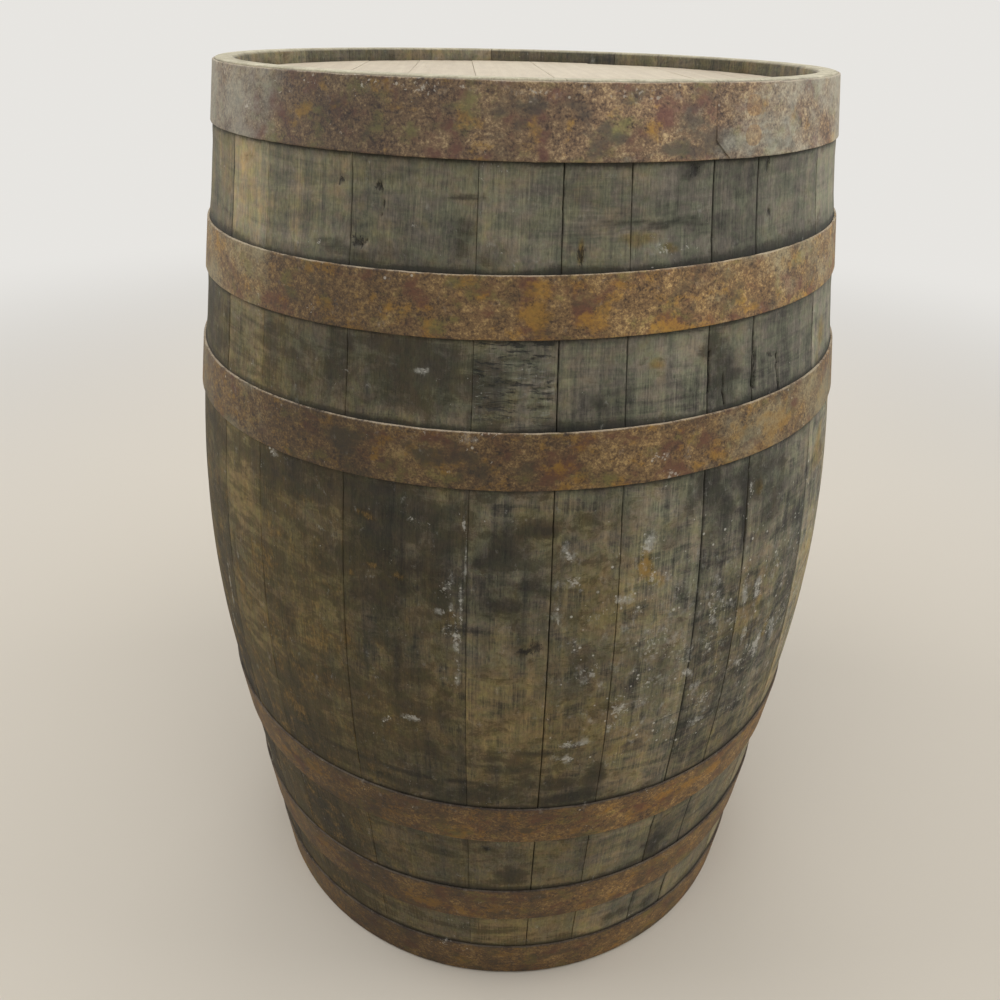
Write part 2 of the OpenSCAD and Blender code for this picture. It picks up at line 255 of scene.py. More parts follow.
# Marks out of the front's view: how many, and the ranges of height, half width, half height and strength
hidden_marks = [
    (soot_marks, 90, (60, 850), (10, 45), (6, 45), (0.3, 0.7)),
    (warm_marks, 50, (60, 800), (8, 60), (6, 70), (0.4, 0.9)),
    (scuff_marks, 70, (90, 700), (4, 14), (4, 24), (0.5, 1.0)),
    (pit_marks, 22, (80, 830), (1.6, 6), (3, 14), (0.8, 1.6)),
    (ochre_marks, 60, (40, 880), (8, 50), (6, 18), (0.5, 1.0)),
    (hoop_dark_marks, 40, (40, 880), (6, 30), (5, 12), (0.4, 0.9)),
    (maroon_marks, 30, (20, 880), (6, 18), (5, 12), (0.4, 0.9)),
]
# Tone and seam gap of each stave on the front, from the left, ranges for the rest, and saw marks by number.
# The last front tone is raised as painted light on the barrel's right edge.
front_tones_and_edge_light = [0.68, 0.54, 0.50, 0.56, 0.53, 0.57, 0.45, 0.48, 0.66]
front_gaps = [0.20, 0.06, 0.14, 0.16, 0.55, 0.30, 0.60, 0.75, 0.30]
back_tones = (0.34, 0.60)
back_gaps = (0.08, 0.7)
sawn_staves = {4: 0.5, 13: 0.6, 21: 0.7}
mm_per_deg = bilge_r / MM * math.pi / 180


# Random surfaces

def lattice(i, j, seed):
    """Repeatable random value from 0 to 1 for each whole-number point: the decimals of a large sine."""
    return np.modf(np.abs(np.sin(i * 127.1 + j * 311.7 + seed * 74.7) * 43758.5453))[0]


def value_noise(x, y, seed):
    """Smooth random height from 0 to 1: lattice values blended both ways by the curve 3t² - 2t³."""
    i, j = np.floor(x), np.floor(y)
    u, v = x - i, y - j
    u, v = u * u * (3 - 2 * u), v * v * (3 - 2 * v)
    low = lattice(i, j, seed) * (1 - u) + lattice(i + 1, j, seed) * u
    high = lattice(i, j + 1, seed) * (1 - u) + lattice(i + 1, j + 1, seed) * u
    return low * (1 - v) + high * v


def rough(x, y, seed, layers=3):
    """Sum of noise layers, each twice as fine and half as high as the last, brought back to 0 to 1."""
    scales = 2.0 ** np.arange(layers)
    total = sum(value_noise(x * s, y * s, seed + 13 * s) / s for s in scales)
    return total / (1 / scales).sum()


def girth_rough(aside, height, size, seed, layers=3):
    """Noise round the barrel with no join: the mean of two noises, on the left-to-right and front-to-back
    place of the point, spread out again to fill 0 to 1. Angles in degrees, heights and size in mm."""
    turn = np.radians(aside)
    apart, spread_out = 57, 1.4
    across = rough(bilge_r / MM * np.sin(turn) / size, height / size, seed, layers)
    deep = rough(bilge_r / MM * np.cos(turn) / size + apart, height / size, seed + 5, layers)
    return np.clip(0.5 + spread_out * ((across + deep) / 2 - 0.5), 0, 1)


def eased(value, low, high):
    """0 below low, 1 above high, and the curve 3t² - 2t³ between."""
    t = np.clip((value - low) / (high - low), 0, 1)
    return t * t * (3 - 2 * t)


def fading(value, low, high):
    """1 below low, 0 above high, and the same curve between."""
    return eased(-value, -high, -low)


def blank(first, second):
    """Zeros for the points that two arrays give together."""
    return np.zeros(np.broadcast(first, second).shape)


# The barrel's lines

def outer_radius(z):
    """Outer line of the staves: straight at the taper from each end, an arc of bend_r about the middle."""
    d = np.abs(z - half_h)
    arc = bilge_r - bend_r + np.sqrt(bend_r ** 2 - d ** 2)
    return np.where(d < half_h - bend_start_z, arc, end_r + (half_h - d) * math.tan(taper))


def inner_radius(z):
    """Inner line of the staves: the outer line set in by the thickness, square to it."""
    d = np.abs(z - half_h)
    arc = bilge_r - bend_r + np.sqrt((bend_r - stave_t) ** 2 - d ** 2)
    straight = end_r + (half_h - d) * math.tan(taper) - stave_t / math.cos(taper)
    return np.where(d < half_h - bend_start_z - stave_t * math.sin(taper), arc, straight)


def round_the_axis(radius, angle, z):
    """Points at these radii, angles and heights, as one array with x, y, z last."""
    return np.stack(np.broadcast_arrays(radius * np.cos(angle), radius * np.sin(angle), z), -1)


def from_front(angle):
    """Degrees to the right of the front, from -180 to 180, of an angle about the axis."""
    return (np.degrees(angle) + 270) % 360 - 180


def turn_from(at, aside):
    """Degrees from the angle at to the angle aside, the short way round."""
    return (aside - at + 180) % 360 - 180


def rounding(from_edge, radius):
    """Depth that a rounded edge takes off: radius - √(radius² - t²), where t is what the distance from the
    edge lacks of the radius."""
    lack = np.clip(radius - from_edge, 0, None)
    return radius - np.sqrt(radius ** 2 - lack ** 2)


def node_points(node):
    """Points of a CAD node as an array."""
    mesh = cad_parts[node].data
    flat = np.zeros(len(mesh.vertices) * 3)
    mesh.vertices.foreach_get("co", flat)
    return flat.reshape(-1, 3)


# Meshes

def closed_shell(front, back, hole=None):
    """Points and quads of a closed skin over two grids of the same shape. The front grid faces along column
    step x row step, the back grid faces the other way, and quads join the two borders all round. hole =
    (row, row, column, column) leaves that block out of both grids and walls it instead."""
    rows, cols = front.shape[:2]
    shift = rows * cols
    number = np.arange(shift).reshape(rows, cols)
    keep = np.ones((rows - 1, cols - 1), bool)
    loops = [(0, rows - 1, 0, cols - 1, False)]
    if hole:
        keep[hole[0]:hole[1], hole[2]:hole[3]] = False
        loops.append((*hole, True))
    quads = np.stack([number[:-1, :-1], number[:-1, 1:], number[1:, 1:], number[1:, :-1]], -1)[keep]
    faces = [quads, quads[:, ::-1] + shift]
    for r0, r1, c0, c1, inward in loops:
        there = [number[r0, c0:c1], number[r0:r1, c1]]
        ring = np.concatenate([*there, number[r1, c1:c0:-1], number[r1:r0:-1, c0]])
        after = np.roll(ring, -1)
        wall = np.stack([ring, ring + shift, after + shift, after], -1)
        faces.append(wall[:, ::-1] if inward else wall)
    return np.concatenate([front.reshape(-1, 3), back.reshape(-1, 3)]), np.concatenate(faces)


def both_faces(front, back):
    """Values on the points of two grids, in the order in which closed_shell numbers them."""
    return {key: np.concatenate([value.reshape(-1, *value.shape[2:]) for value in (front[key], back[key])])
            for key in front}


def new_object(name, data):
    """Object that holds this data, linked into the scene."""
    made = bpy.data.objects.new(name, data)
    bpy.context.scene.collection.objects.link(made)
    return made


def mesh_piece(name, points, faces, values=(), sharp=50):
    """Object from points, quads and per-point values. Points that no face uses are dropped. Edges that bend
    by more than sharp degrees stay sharp."""
    used, faces = np.unique(faces, return_inverse=True)
    faces = faces.reshape(-1, 4).astype(np.int32)
    mesh = bpy.data.meshes.new(name)
    mesh.vertices.add(len(used))
    mesh.vertices.foreach_set("co", points[used].astype(np.float32).ravel())
    mesh.loops.add(faces.size)
    mesh.loops.foreach_set("vertex_index", faces.ravel())
    mesh.polygons.add(len(faces))
    mesh.polygons.foreach_set("loop_start", np.arange(0, faces.size, 4, dtype=np.int32))
    mesh.update(calc_edges=True)
    mesh.shade_smooth()
    mesh.set_sharp_from_angle(angle=math.radians(sharp))
    for key, value in dict(values).items():
        kind, slot = ("FLOAT_VECTOR", "vector") if value.ndim == 2 else ("FLOAT", "value")
        layer = mesh.attributes.new(key, kind, "POINT")
        layer.data.foreach_set(slot, value[used].astype(np.float32).ravel())
    return new_object(name, mesh)


def dress(piece, node, body, material):
    """Puts a finished piece on its CAD body, in place of its CAD node and material."""
    piece.data.materials.append(material)
    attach(piece, body)
    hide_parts(node)


# Marks and splits

def drawn_marks(count, ranges, seed):
    """Marks on the sides and back, out of the front's view: even draws from each range in turn."""
    draw = np.random.default_rng(seed)
    return [tuple(draw.uniform(*limits) for limits in ranges) for _ in range(count)]


def drawn_splits(count, seed):
    """Splits on the sides and back: each runs down the grain in two stretches, the first a little aslant."""
    draw = np.random.default_rng(seed)
    lines = []
    for at, up, step, drop in draw.uniform(*hidden_split_ranges, (count, 4)):
        lines.append((*hidden_split_size, [(at, up), (at + step, up - drop), (at + step, up - 2 * drop)]))
    return lines


for number, (marks, count, *ranges) in enumerate(hidden_marks):
    marks += drawn_marks(count, [hidden_sides, *ranges], seed=11 + number)
split_lines += drawn_splits(14, seed=18)


def split_depth(aside, height):
    """Depth of the splits in mm: all of it close to the line, falling to nothing at 1.6 of the half width.
    Noises move the line sideways and change its width."""
    total = blank(aside, height)
    wander = split_wander * (girth_rough(aside, height, 7, seed=85) - 0.5)
    swell = 0.35 + 1.3 * girth_rough(aside, height, 11, seed=87)
    for wide, deep, line in split_lines:
        for (at, up), (next_at, next_up) in zip(line, line[1:]):
            x = turn_from(at, aside) * mm_per_deg + wander
            y = height - up
            run, rise = (next_at - at) * mm_per_deg, next_up - up
            t = np.clip((x * run + y * rise) / (run ** 2 + rise ** 2), 0, 1)
            off = np.hypot(x - t * run, y - t * rise) / swell
            total = np.maximum(total, deep * fading(off, 0.4 * wide, 1.6 * wide))
    return total


def mark_place(aside, height, mark):
    """Sideways and upward distance of points from a mark's middle, in its half sizes."""
    at, up, wide, tall, _ = mark
    return turn_from(at, aside) * mm_per_deg / wide, (height - up) / tall


def marked(aside, height, marks, seed):
    """Largest of soft ragged ellipses, each falling from its strength in the middle to nothing at its edge.
    Noise pushes the points about by up to mark_push of its half sizes first, so that no mark is round."""
    push, lift = (mark_push * (2 * girth_rough(aside, height, size, number) - 1)
                  for size, number in ((26, seed), (18, seed + 40)))
    total = blank(aside, height)
    for mark in marks:
        off, above = mark_place(aside, height, mark)
        total = np.maximum(total, mark[-1] * fading(np.hypot(off + push, above + lift), 0.2, 1.25))
    return total


def pit_depth(aside, height):
    """Depth of the knots and gouges in mm: the sum of ellipses, each falling from its depth to nothing."""
    return sum(mark[-1] * fading(np.hypot(*mark_place(aside, height, mark)), 0.2, 1.2) for mark in pit_marks)


def flaky(aside, height):
    """Share of flaking on the stave at the middle of the front, between the quarter and the bilge hoop."""
    across = eased(aside, -6.2, -5) * fading(aside, 4.6, 5.6)
    return across * eased(height, 640, 672) * fading(height, 712, 760)


def rough_checks(aside, height):
    """Cross checks where the wood flakes: short level hollows, from a noise stretched along the girth."""
    lines = rough(aside / 2.6, height / 2.4, seed=81, layers=2)
    return flaky(aside, height) * eased(lines, 0.45, 0.75)


# What the hoops leave on the wood and carry by angle

def hoop_edges(hoop):
    """Lower and upper edge of a hoop's CAD node, and its rise on the right side, in metres."""
    low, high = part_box(hoop.node)
    return low.z, high.z, hoop.rise_mm * MM


def mean_radius(low, high):
    """Radius of the staves' outer line half way between two heights."""
    return float(outer_radius(np.array((low + high) / 2)))


def past_hoops(angle, z):
    """For each hoop its lower and upper edge, and how far points lie below the one and above the other."""
    for hoop in hoops:
        low, high, rise = hoop_edges(hoop)
        shift = rise * np.cos(angle)
        yield low, high, low + shift - z, z - high - shift


def hoop_grip(angle, z):
    """1 under each hoop, where the staves are pressed flush, easing to 0 at 20 mm above and below it."""
    total = blank(angle, z)
    for _, _, below, above in past_hoops(angle, z):
        total = np.maximum(total, fading(np.maximum(below, above), 2 * MM, 20 * MM))
    return total


def hoop_dirt_and_shadow(angle, z):
    """Dirt and painted shadow along the hoops: above each upper edge, dirt and painted shade close to it all
    along and dirt further up in a ragged fringe, and painted shadow close below each lower edge. There is
    none beyond the barrel's two ends."""
    total = blank(angle, z)
    fringe = eased(girth_rough(from_front(angle), z / MM, 70, seed=86), 0.3, 0.7)
    for low, high, below, above in past_hoops(angle, z):
        if high < barrel_h - 10 * MM:
            # Dirt and painted shade close above the upper edge, and dirt in the fringe further up
            near, far = (np.exp(-np.maximum(above, 0) / reach) for reach in (5 * MM, 18 * MM))
            total += np.where(above > -2 * MM, 1.3 * near + 0.5 * fringe * far, 0)
        if low > 10 * MM:
            # Painted shadow close below the lower edge
            total += np.where(below > -2 * MM, 1.1 * np.exp(-np.maximum(below, 0) / (4 * MM)), 0)
    return np.clip(total, 0, 1.4)


def ghost_dirt(aside, height):
    """Thin wavy lines along the barrel's girth, each fading from its height and beyond its two end angles."""
    total = blank(aside, height)
    wave = 8 * (girth_rough(aside, 0 * height, 40, seed=83) - 0.5)
    broken = eased(girth_rough(aside, height, 30, seed=84), 0.25, 0.6)
    for up, start, stop, wide, strength in ghost_lines:
        middle, reach = (start + stop) / 2, (stop - start) / 2
        fade = fading(np.abs(turn_from(middle, aside)), reach - 4, reach + 4)
        total = np.maximum(total, strength * fade * broken * np.exp(-((height - up - wave) / wide) ** 2))
    return total


def hoop_dust_and_side_light(aside):
    """Dust on the hoops, partly painted light from the sides: at once from 34 degrees on the left, slowly on
    the right, less at the back.
    """
    back = eased(np.abs(aside), 80, 150)
    return np.maximum(fading(aside, -43, -34), 0.9 * eased(aside, 4, 46)) * (1 - back) + 0.4 * back


def hoop_tone_and_painted_light(aside):
    """Lightness of the rust, partly its own tone and partly painted light, as a linear share: darkest left of
    the front, lighter towards the right.
    """
    rightward = np.sin(np.radians(aside))
    lit = eased(rightward, 0.05, 0.38) * (1 - 0.75 * eased(np.abs(aside), 62, 110))
    return (1 - 0.2 * np.exp(-((aside + 27) / 14) ** 2) + 0.18 * lit) ** screen_gamma


# Staves

def stave_columns(width, pitch):
    """Shares across a stave from 0 to 1: close together on the rounded edges, even between them."""
    edge = np.array([0, 0.5, 1.1, 1.9, 3.0]) * MM / width
    count = max(int(width / pitch), 6)
    return np.concatenate([edge, np.linspace(edge[-1], 1 - edge[-1], count)[1:-1], 1 - edge[::-1]])


def outer_rows(pitch):
    """Heights up the outer face and their insets: a quarter round at each end and even steps between."""
    turn = np.radians([0, 30, 60, 90])
    foot = chime_arris * (1 - np.cos(turn))
    inset = chime_arris * (1 - np.sin(turn))
    count = int(barrel_h / pitch)
    middle = np.linspace(chime_arris, barrel_h - chime_arris, count)[1:-1]
    z = np.concatenate([foot, middle, barrel_h - foot[::-1]])
    return z, np.concatenate([inset, 0 * middle, inset[::-1]])


def inner_rows(count):
    """Heights and radii up the inner face: bevel, wall, croze and howel at each end, even steps between."""
    end_z = np.array([0, chime_bevel, croze_low, tongue_z - tongue_w / 2, tongue_z + tongue_w / 2,
                      croze_high, howel_top])
    radius = np.array([wall_r + chime_bevel, wall_r, wall_r, head_tip_r, head_tip_r, wall_r, wall_r])
    middle = np.linspace(howel_top, barrel_h - howel_top, count - 2 * len(end_z) + 2)[1:-1]
    z = np.concatenate([end_z, middle, barrel_h - end_z[::-1]])
    return z, np.concatenate([radius, inner_radius(middle), radius[::-1]])


def stave_edges(no):
    """Angles of a stave's two edges about the axis, from its CAD solid."""
    x, y, _ = node_points(stave_nodes[no]).T
    middle = math.atan2(y.mean(), x.mean())
    turn = np.angle(np.exp(1j * (np.arctan2(y, x) - middle)))
    return middle + turn.min(), middle + turn.max()


def stave_angles(no, gaps, height, share):
    """Angles across a stave at these heights, by shares of the way between its edges. Each edge stands back
    from its seam by half of the seam's gap, more in some places and less in others."""
    left, right = stave_edges(no)
    left_gap, right_gap = (gap * MM * (0.3 + rough(height / (70 * MM), 0 * height, seed=31 + seam)) / 2
                           for gap, seam in zip(gaps, (no, no + 1)))
    start = left + left_gap / outer_radius(height)
    stop = right - right_gap / outer_radius(height)
    return start + (stop - start) * share


def hole_block(angle, z):
    """Cells to open for the bung: the rows and columns nearest to 3/4 of the hole's radius each way."""
    reach = 0.75 * bung_hole_r
    rows = [int(np.argmin(np.abs(z[:, 0] - half_h - side * reach))) for side in (-1, 1)]
    cols = [int(np.argmin(np.abs((angle[rows[0]] - bung_at) * bilge_r - side * reach))) for side in (-1, 1)]
    return *rows, *cols


def open_hole(angle, z, block, radius):
    """Moves a grid so that the border of a block of cells becomes a circle. In the block's own measure, 1
    on its border, a point at m moves to the circle's m-fold, and less of that way the nearer m is to 2.2."""
    x, up = (angle - bung_at) * bilge_r, z - half_h
    row, _, col, _ = block
    u, v = x / abs(x[row, col]), up / abs(up[row, col])
    m = np.maximum(np.abs(u), np.abs(v))
    length = np.maximum(np.hypot(u, v), 1e-9)
    stay = eased(m, 1, 2.2)
    x, up = ((1 - stay) * radius * m * way / length + stay * old for way, old in ((u, x), (v, up)))
    return x / bilge_r + bung_at, up + half_h


def outer_face(no, gaps, share, angle, z):
    """Measures of a stave's outer face: aside in degrees, rightward as its sine, height in mm, and in
    metres the way across and from the edges and ends. Then the gap of the nearer seam, chips from 0 to 1,
    and the depth of splits and checks in mm."""
    radius = outer_radius(z)
    across = (angle - angle[:, :1]) * radius
    aside, height = from_front(angle), z / MM
    return StaveFace(
        no, angle, z, aside, np.sin(np.radians(aside)), height, across,
        from_edge=np.minimum(across, (angle[:, -1:] - angle) * radius),
        from_end=np.minimum(z, barrel_h - z),
        gap=np.where(share < 0.5, *gaps),
        chip=eased(rough(z / (9 * MM), np.sign(share - 0.5) + 0 * z, seed=50 + no), 0.62, 0.9),
        split=split_depth(aside, height),
        checks=rough_checks(aside, height))


def stave_wear(face):
    """Depth of the wear in metres: rounded and chipped edges, knots and gouges, and a slow warp, fine grain
    and the stave's own level that the hoops press flat, all fading at the ends, then checks and splits."""
    across, z, no = face.across, face.z, face.no
    depth = rounding(face.from_edge, (0.25 + 1.0 * face.gap + (0.6 + 1.6 * face.gap) * face.chip) * MM)
    uneven = stave_warp * rough(across / (38 * MM), z / (130 * MM), seed=60 + no)
    uneven = uneven + stave_grain * rough(across / (3.2 * MM), z / (90 * MM), seed=90 + no, layers=2)
    uneven = uneven + stave_level * lattice(no, 3, seed=5)
    depth = depth + uneven * (1 - 0.8 * hoop_grip(face.angle, z)) + MM * pit_depth(face.aside, face.height)
    depth = depth * (0.04 + 0.96 * eased(face.from_end, 34 * MM, 70 * MM))
    return depth + MM * (0.9 * face.checks + face.split)


def stave_dullness_and_shade(face):
    """Soot that lies all over: more below the quarter hoop left of the middle and more on the middle stave,
    less on the patch of the middle stave that is rubbed clean, and painted shade low on the left."""
    aside, height, rightward = face.aside, face.height, face.rightward
    below_quarter = fading(height, 690, 735)
    dull = 0.06 + 0.40 * below_quarter * fading(rightward, -0.12, 0.12)
    dull = dull + 0.10 * below_quarter * fading(aside, -34, -20) * eased(aside, -100, -80)
    dull = dull + 0.27 * fading(height, 600, 735) * fading(np.abs(aside - 8), 5, 14)
    dull = dull - 0.24 * np.exp(-((aside + 4) / 6) ** 2 - ((height - 440) / 90) ** 4)
    # Painted shade on the lower left
    low_left_shade = 0.36 * fading(rightward, -0.60, -0.36) * fading(height, 290, 440)
    return dull + low_left_shade * fading(np.abs(aside), 75, 125)


def stave_soot_and_shade(face):
    """Soot and painted shade: marks and old hoop lines over the dullness and its painted shade, then dirt and
    painted shadow along hoops, dirt along seams, checks and chips, and none on the very ends."""
    soot = marked(face.aside, face.height, soot_marks, seed=21)
    soot = np.maximum(soot, ghost_dirt(face.aside, face.height))
    soot = 1 - (1 - 0.84 * np.minimum(soot, 1)) * (1 - stave_dullness_and_shade(face))
    # Dirt and painted shadow along the hoops
    soot = np.maximum(soot, 0.8 * hoop_dirt_and_shadow(face.angle, face.z))
    soot = np.maximum(soot, (0.35 + 0.5 * face.gap) * np.exp(-face.from_edge / (0.8 * MM)))
    soot = np.maximum(soot, 0.5 * face.checks) + 0.12 * face.chip * (face.from_edge < 4 * MM)
    return np.clip(soot, 0, 1.1) * eased(face.from_end, 2 * MM, 8 * MM)


def stave_warmth_and_bounce(face):
    """Yellowing, and painted warm light bounced up from the floor: the bounce grows towards the floor, the
    yellowing is more on the left, less on the right and top left, and in warm marks.
    """
    height, rightward = face.height, face.rightward
    # Painted warm bounce light from the floor, growing downwards
    warmth = 0.32 + 0.30 * fading(height, 360, 740)
    warmth = warmth + 0.26 * fading(rightward, -0.64, -0.09) - 0.18 * eased(rightward, 0.09, 0.64)
    warmth = warmth - 0.16 * eased(height, 730, 770) * fading(rightward, -0.6, -0.3)
    return np.maximum(warmth, marked(face.aside, height, warm_marks, seed=22))


def stave_scuff(face):
    """Pale scuffs: a scatter on the right of the belly, and the scuff marks."""
    height = face.height
    scatter = 0.38 * eased(face.rightward, -0.03, 0.42) * fading(height, 480, 610) * eased(height, 300, 370)
    return np.maximum(scatter, marked(face.aside, height, scuff_marks, seed=23))


def outer_values(face, tone, inset):
    """What the oak finish reads on a stave's outer face."""
    aside, height = face.aside, face.height
    none = 0 * face.z
    hollows = [(at, up, wide + 2.5, tall + 2.5, 1.15) for at, up, wide, tall, _ in pit_marks]
    smooth = 1 - 0.6 * fading(face.rightward, -0.6, -0.3)
    return {
        "grain": np.stack([face.across + stave_grain_step * face.no, face.z, none], -1),
        "tone": tone + 0.06 * fading(height, 85, 105),
        "soot": stave_soot_and_shade(face),
        "warmth": stave_warmth_and_bounce(face),
        "pit": np.maximum(marked(aside, height, hollows, seed=26), 0.7 * face.split),
        "wear": 0.15 + 0.85 * fading(height, 600, 740) * eased(height, 120, 330) * smooth,
        "flake": flaky(aside, height),
        "scuff": stave_scuff(face),
        "sawn": sawn_staves.get(face.no, 0.0) * eased(height, 640, 740),
        "bare_end": eased(inset, 0, 0.2 * chime_arris) + none,
        "char": none,
    }


def inner_values(face, tone, z):
    """What the oak finish reads on a stave's inner face: bare wood on the bevel, char beyond the croze."""
    none = 0 * z
    near_end = np.minimum(z, barrel_h - z)
    return {
        "grain": np.stack([face.across + stave_grain_step * face.no, z, none + 0.3], -1),
        "bare_end": 1.0 * (near_end < 0.9 * chime_bevel),
        "char": eased(near_end, croze_low, croze_high),
        "tone": none + tone, "soot": none + 0.30, "warmth": none + 0.5, "wear": none + 0.4,
        "pit": none, "flake": none, "scuff": none, "sawn": none,
    }


def weathered_stave(no, tone, gaps, pitch):
    """Stave as two grids of height x width. The outer grid is the barrel's outer line turned round the
    axis, less the depth of its wear. The inner grid is the inner line, unworn."""
    node = stave_nodes[no]
    left, right = stave_edges(no)
    share = stave_columns((right - left) * bilge_r, pitch[0])[None, :]
    z, inset = (line[:, None] for line in outer_rows(pitch[1]))
    z_in, r_in = (line[:, None] for line in inner_rows(len(z)))
    angle, angle_in = (stave_angles(no, gaps, height, share) for height in (z, z_in))
    z, z_in = z + 0 * angle, z_in + 0 * angle_in
    block = None
    if node == "bung_stave":
        block = hole_block(angle, z)
        angle, z = open_hole(angle, z, block, bung_hole_r)
        angle_in, z_in = open_hole(angle_in, z_in, block, bung_hole_r - stave_t * bung_slope)
    face = outer_face(no, gaps, share, angle, z)
    outer = round_the_axis(outer_radius(z) - inset - stave_wear(face), angle, z)
    inner = round_the_axis(r_in, angle_in, z_in)
    values = both_faces(outer_values(face, tone, inset), inner_values(face, tone, z_in))
    piece = mesh_piece(f"oak_{node}", *closed_shell(outer, inner, block), values)
    dress(piece, node, "barrel", oak_finish)


# Head boards

def board_depths(px, py, from_edge, seed):
    """Depth below the rim of a board's two faces: flat, then sloping to the tongue. The outer face has
    rounded joint edges, a slow warp, fine grain and its own level, all fading down the slope."""
    r = np.hypot(px, py)
    outward = np.clip((r - head_face_r) / (head_tip_r - head_face_r), 0, 1)
    inward = np.clip((r - head_back_r) / (head_tip_r - head_back_r), 0, 1)
    depth = rounding(from_edge, board_arris)
    depth = depth + board_warp * rough(px / (30 * MM), py / (120 * MM), seed=120 + seed)
    depth = depth + board_grain * rough(px / (2.6 * MM), py / (80 * MM), seed=140 + seed, layers=2)
    depth = depth + board_level * lattice(seed, 1, seed=3)
    low = tongue_z - tongue_w / 2 - recess
    high = recess + head_t - tongue_z - tongue_w / 2
    return recess + low * outward + depth * (1 - outward), recess + head_t - high * inward


def board_dirt_and_rim_shade(px, py, from_edge):
    """Dirt on a board along its joints and in broad patches, and painted shade towards the rim."""
    # Painted shade towards the rim
    rim = eased(np.hypot(px, py), head_face_r - 12 * MM, head_face_r + 2 * MM)
    patches = eased(rough(px / (50 * MM), py / (80 * MM), seed=160), 0.55, 0.8)
    return np.maximum.reduce([0.45 * np.exp(-from_edge / (0.7 * MM)), 0.8 * rim, 0.35 * patches])


def head_board(end, name):
    """Board as two height fields over one grid, x between its joints and y from rim to rim, then turned."""
    node = f"{end}_{name}"
    turn = math.radians(head_turns[end])
    x, y, _ = node_points(node).T
    local = x * math.cos(turn) + y * math.sin(turn)
    limit = head_tip_r * 0.9996
    start = max(local.min() + board_gap, -limit)
    stop = min(local.max() - board_gap, limit)
    seed = board_ids.index(name) + (20 if end == "bottom" else 0)
    share = stave_columns(stop - start, board_pitch)[None, :]
    rim = np.array([0, 0.8, 2.0, 3.5, 6, 9, 13, 18, 23, 28]) * MM / head_tip_r
    along = np.concatenate([rim - 1, np.linspace(rim[-1] - 1, 1 - rim[-1], 90)[1:-1], 1 - rim[::-1]])[:, None]
    px = start + (stop - start) * share + 0 * along
    py = along * np.sqrt(head_tip_r ** 2 - px ** 2)
    from_edge = np.minimum(px - start, stop - px)
    outer, inner = board_depths(px, py, from_edge, seed)
    wx = px * math.cos(turn) - py * math.sin(turn)
    wy = px * math.sin(turn) + py * math.cos(turn)
    none = 0 * px
    values = {
        "grain": np.stack([px + board_grain_step * seed, py, none + seed], -1),
        "tone": none + (0.42 + 0.22 * lattice(seed, 2, seed=9)),
        # Dirt at the joints and in patches, and painted shade round the rim
        "soot": board_dirt_and_rim_shade(px, py, from_edge),
        "scuff": none + 0.12,
    }
    if end == "top":
        levels, chars = (barrel_h - outer, barrel_h - inner), (none, none + 1)
    else:
        levels, chars = (inner, outer), (none + 1, none)
    grids = [np.stack([wx, wy, level], -1) for level in levels]
    faces = [{**values, "char": char} for char in chars]
    piece = mesh_piece(f"oak_{node}", *closed_shell(*grids), both_faces(*faces))
    dress(piece, node, "barrel", head_finish)


# Hoops, rivets and bung

def hoop_strip(hoop):
    """Hoop as one strip of length x width, bent round the staves' outer line. From its free end the strip
    lies on the lap's offset, comes down to the staves over the climb, runs round once and ends under the
    lap. The free end's corners are clipped, and the edges and the face are slightly uneven."""
    low, high, rise = hoop_edges(hoop)
    width = high - low
    seed = 200 + hoops.index(hoop)
    mean_r = mean_radius(low, high)
    total = 2 * math.pi * mean_r + lap_len
    edge = np.array([0, 0.25, 0.7, 1.5]) * MM / width
    share = np.concatenate([edge, np.linspace(edge[-1], 1 - edge[-1], 11)[1:-1], 1 - edge[::-1]])[:, None]
    clip = np.linspace(0, lap_corner, 9)[:-1]
    along = np.concatenate([clip, np.linspace(lap_corner, total, int(total / hoop_pitch))])[None, :]
    angle = math.radians(hoop.lap_deg) + along / mean_r + 0 * share
    lift = lap_off * (1 - eased(along, lap_len, lap_len + climb_len))
    cut = np.clip(lap_corner - along, 0, None)
    sway = [hoop_sway * (rough(angle * 30, 0 * angle + k, seed) - 0.5) for k in (0, 5)]
    shift = rise * np.cos(angle)
    z_low, z_high = low + cut + shift + sway[0], high - cut + shift + sway[1]
    z = z_low + (z_high - z_low) * share
    from_edge = np.minimum(share, 1 - share) * width
    worn_end = (1.05 + 0.65 * eased(share, 0.15, 0.45)) * MM * (1 - eased(along, 0, 30 * MM))
    dent_depth = (0.12 if hoop.finish == "chime" else 0.35) * MM
    dents = dent_depth * rough(angle * 9, z / (40 * MM), seed + 7, layers=2)
    base = outer_radius(z) + lift + dents
    front = round_the_axis(base + hoop_worn_t - rounding(from_edge, hoop_arris) - worn_end, angle, z)
    back = round_the_axis(base, angle, z)
    aside, height = from_front(angle), z / MM
    paler = 1 + 0.4 * marked(aside, height, hoop_pale_marks, seed=29)
    values = {
        "edge": np.exp(-from_edge / (0.9 * MM)) + 0 * z,
        "upper": eased(share, 0.5, 1.0) + 0 * z,
        "ochre": marked(aside, height, ochre_marks, seed=24),
        "soot": marked(aside, height, hoop_dark_marks, seed=25),
        "maroon": marked(aside, height, maroon_marks, seed=28),
        # Dust with painted side light, and lightness that is partly painted light
        "dust": dusty_and_lit[hoop.finish] * hoop_dust_and_side_light(aside),
        "light": hoop.light ** screen_gamma * hoop_tone_and_painted_light(aside) * paler,
        "scuff": marked(aside, height, hoop_scuff_marks, seed=27),
    }
    piece = mesh_piece(f"rusty_{hoop.node}", *closed_shell(front, back), both_faces(values, values))
    dress(piece, hoop.node, "barrel", hoop_finishes[hoop.finish])


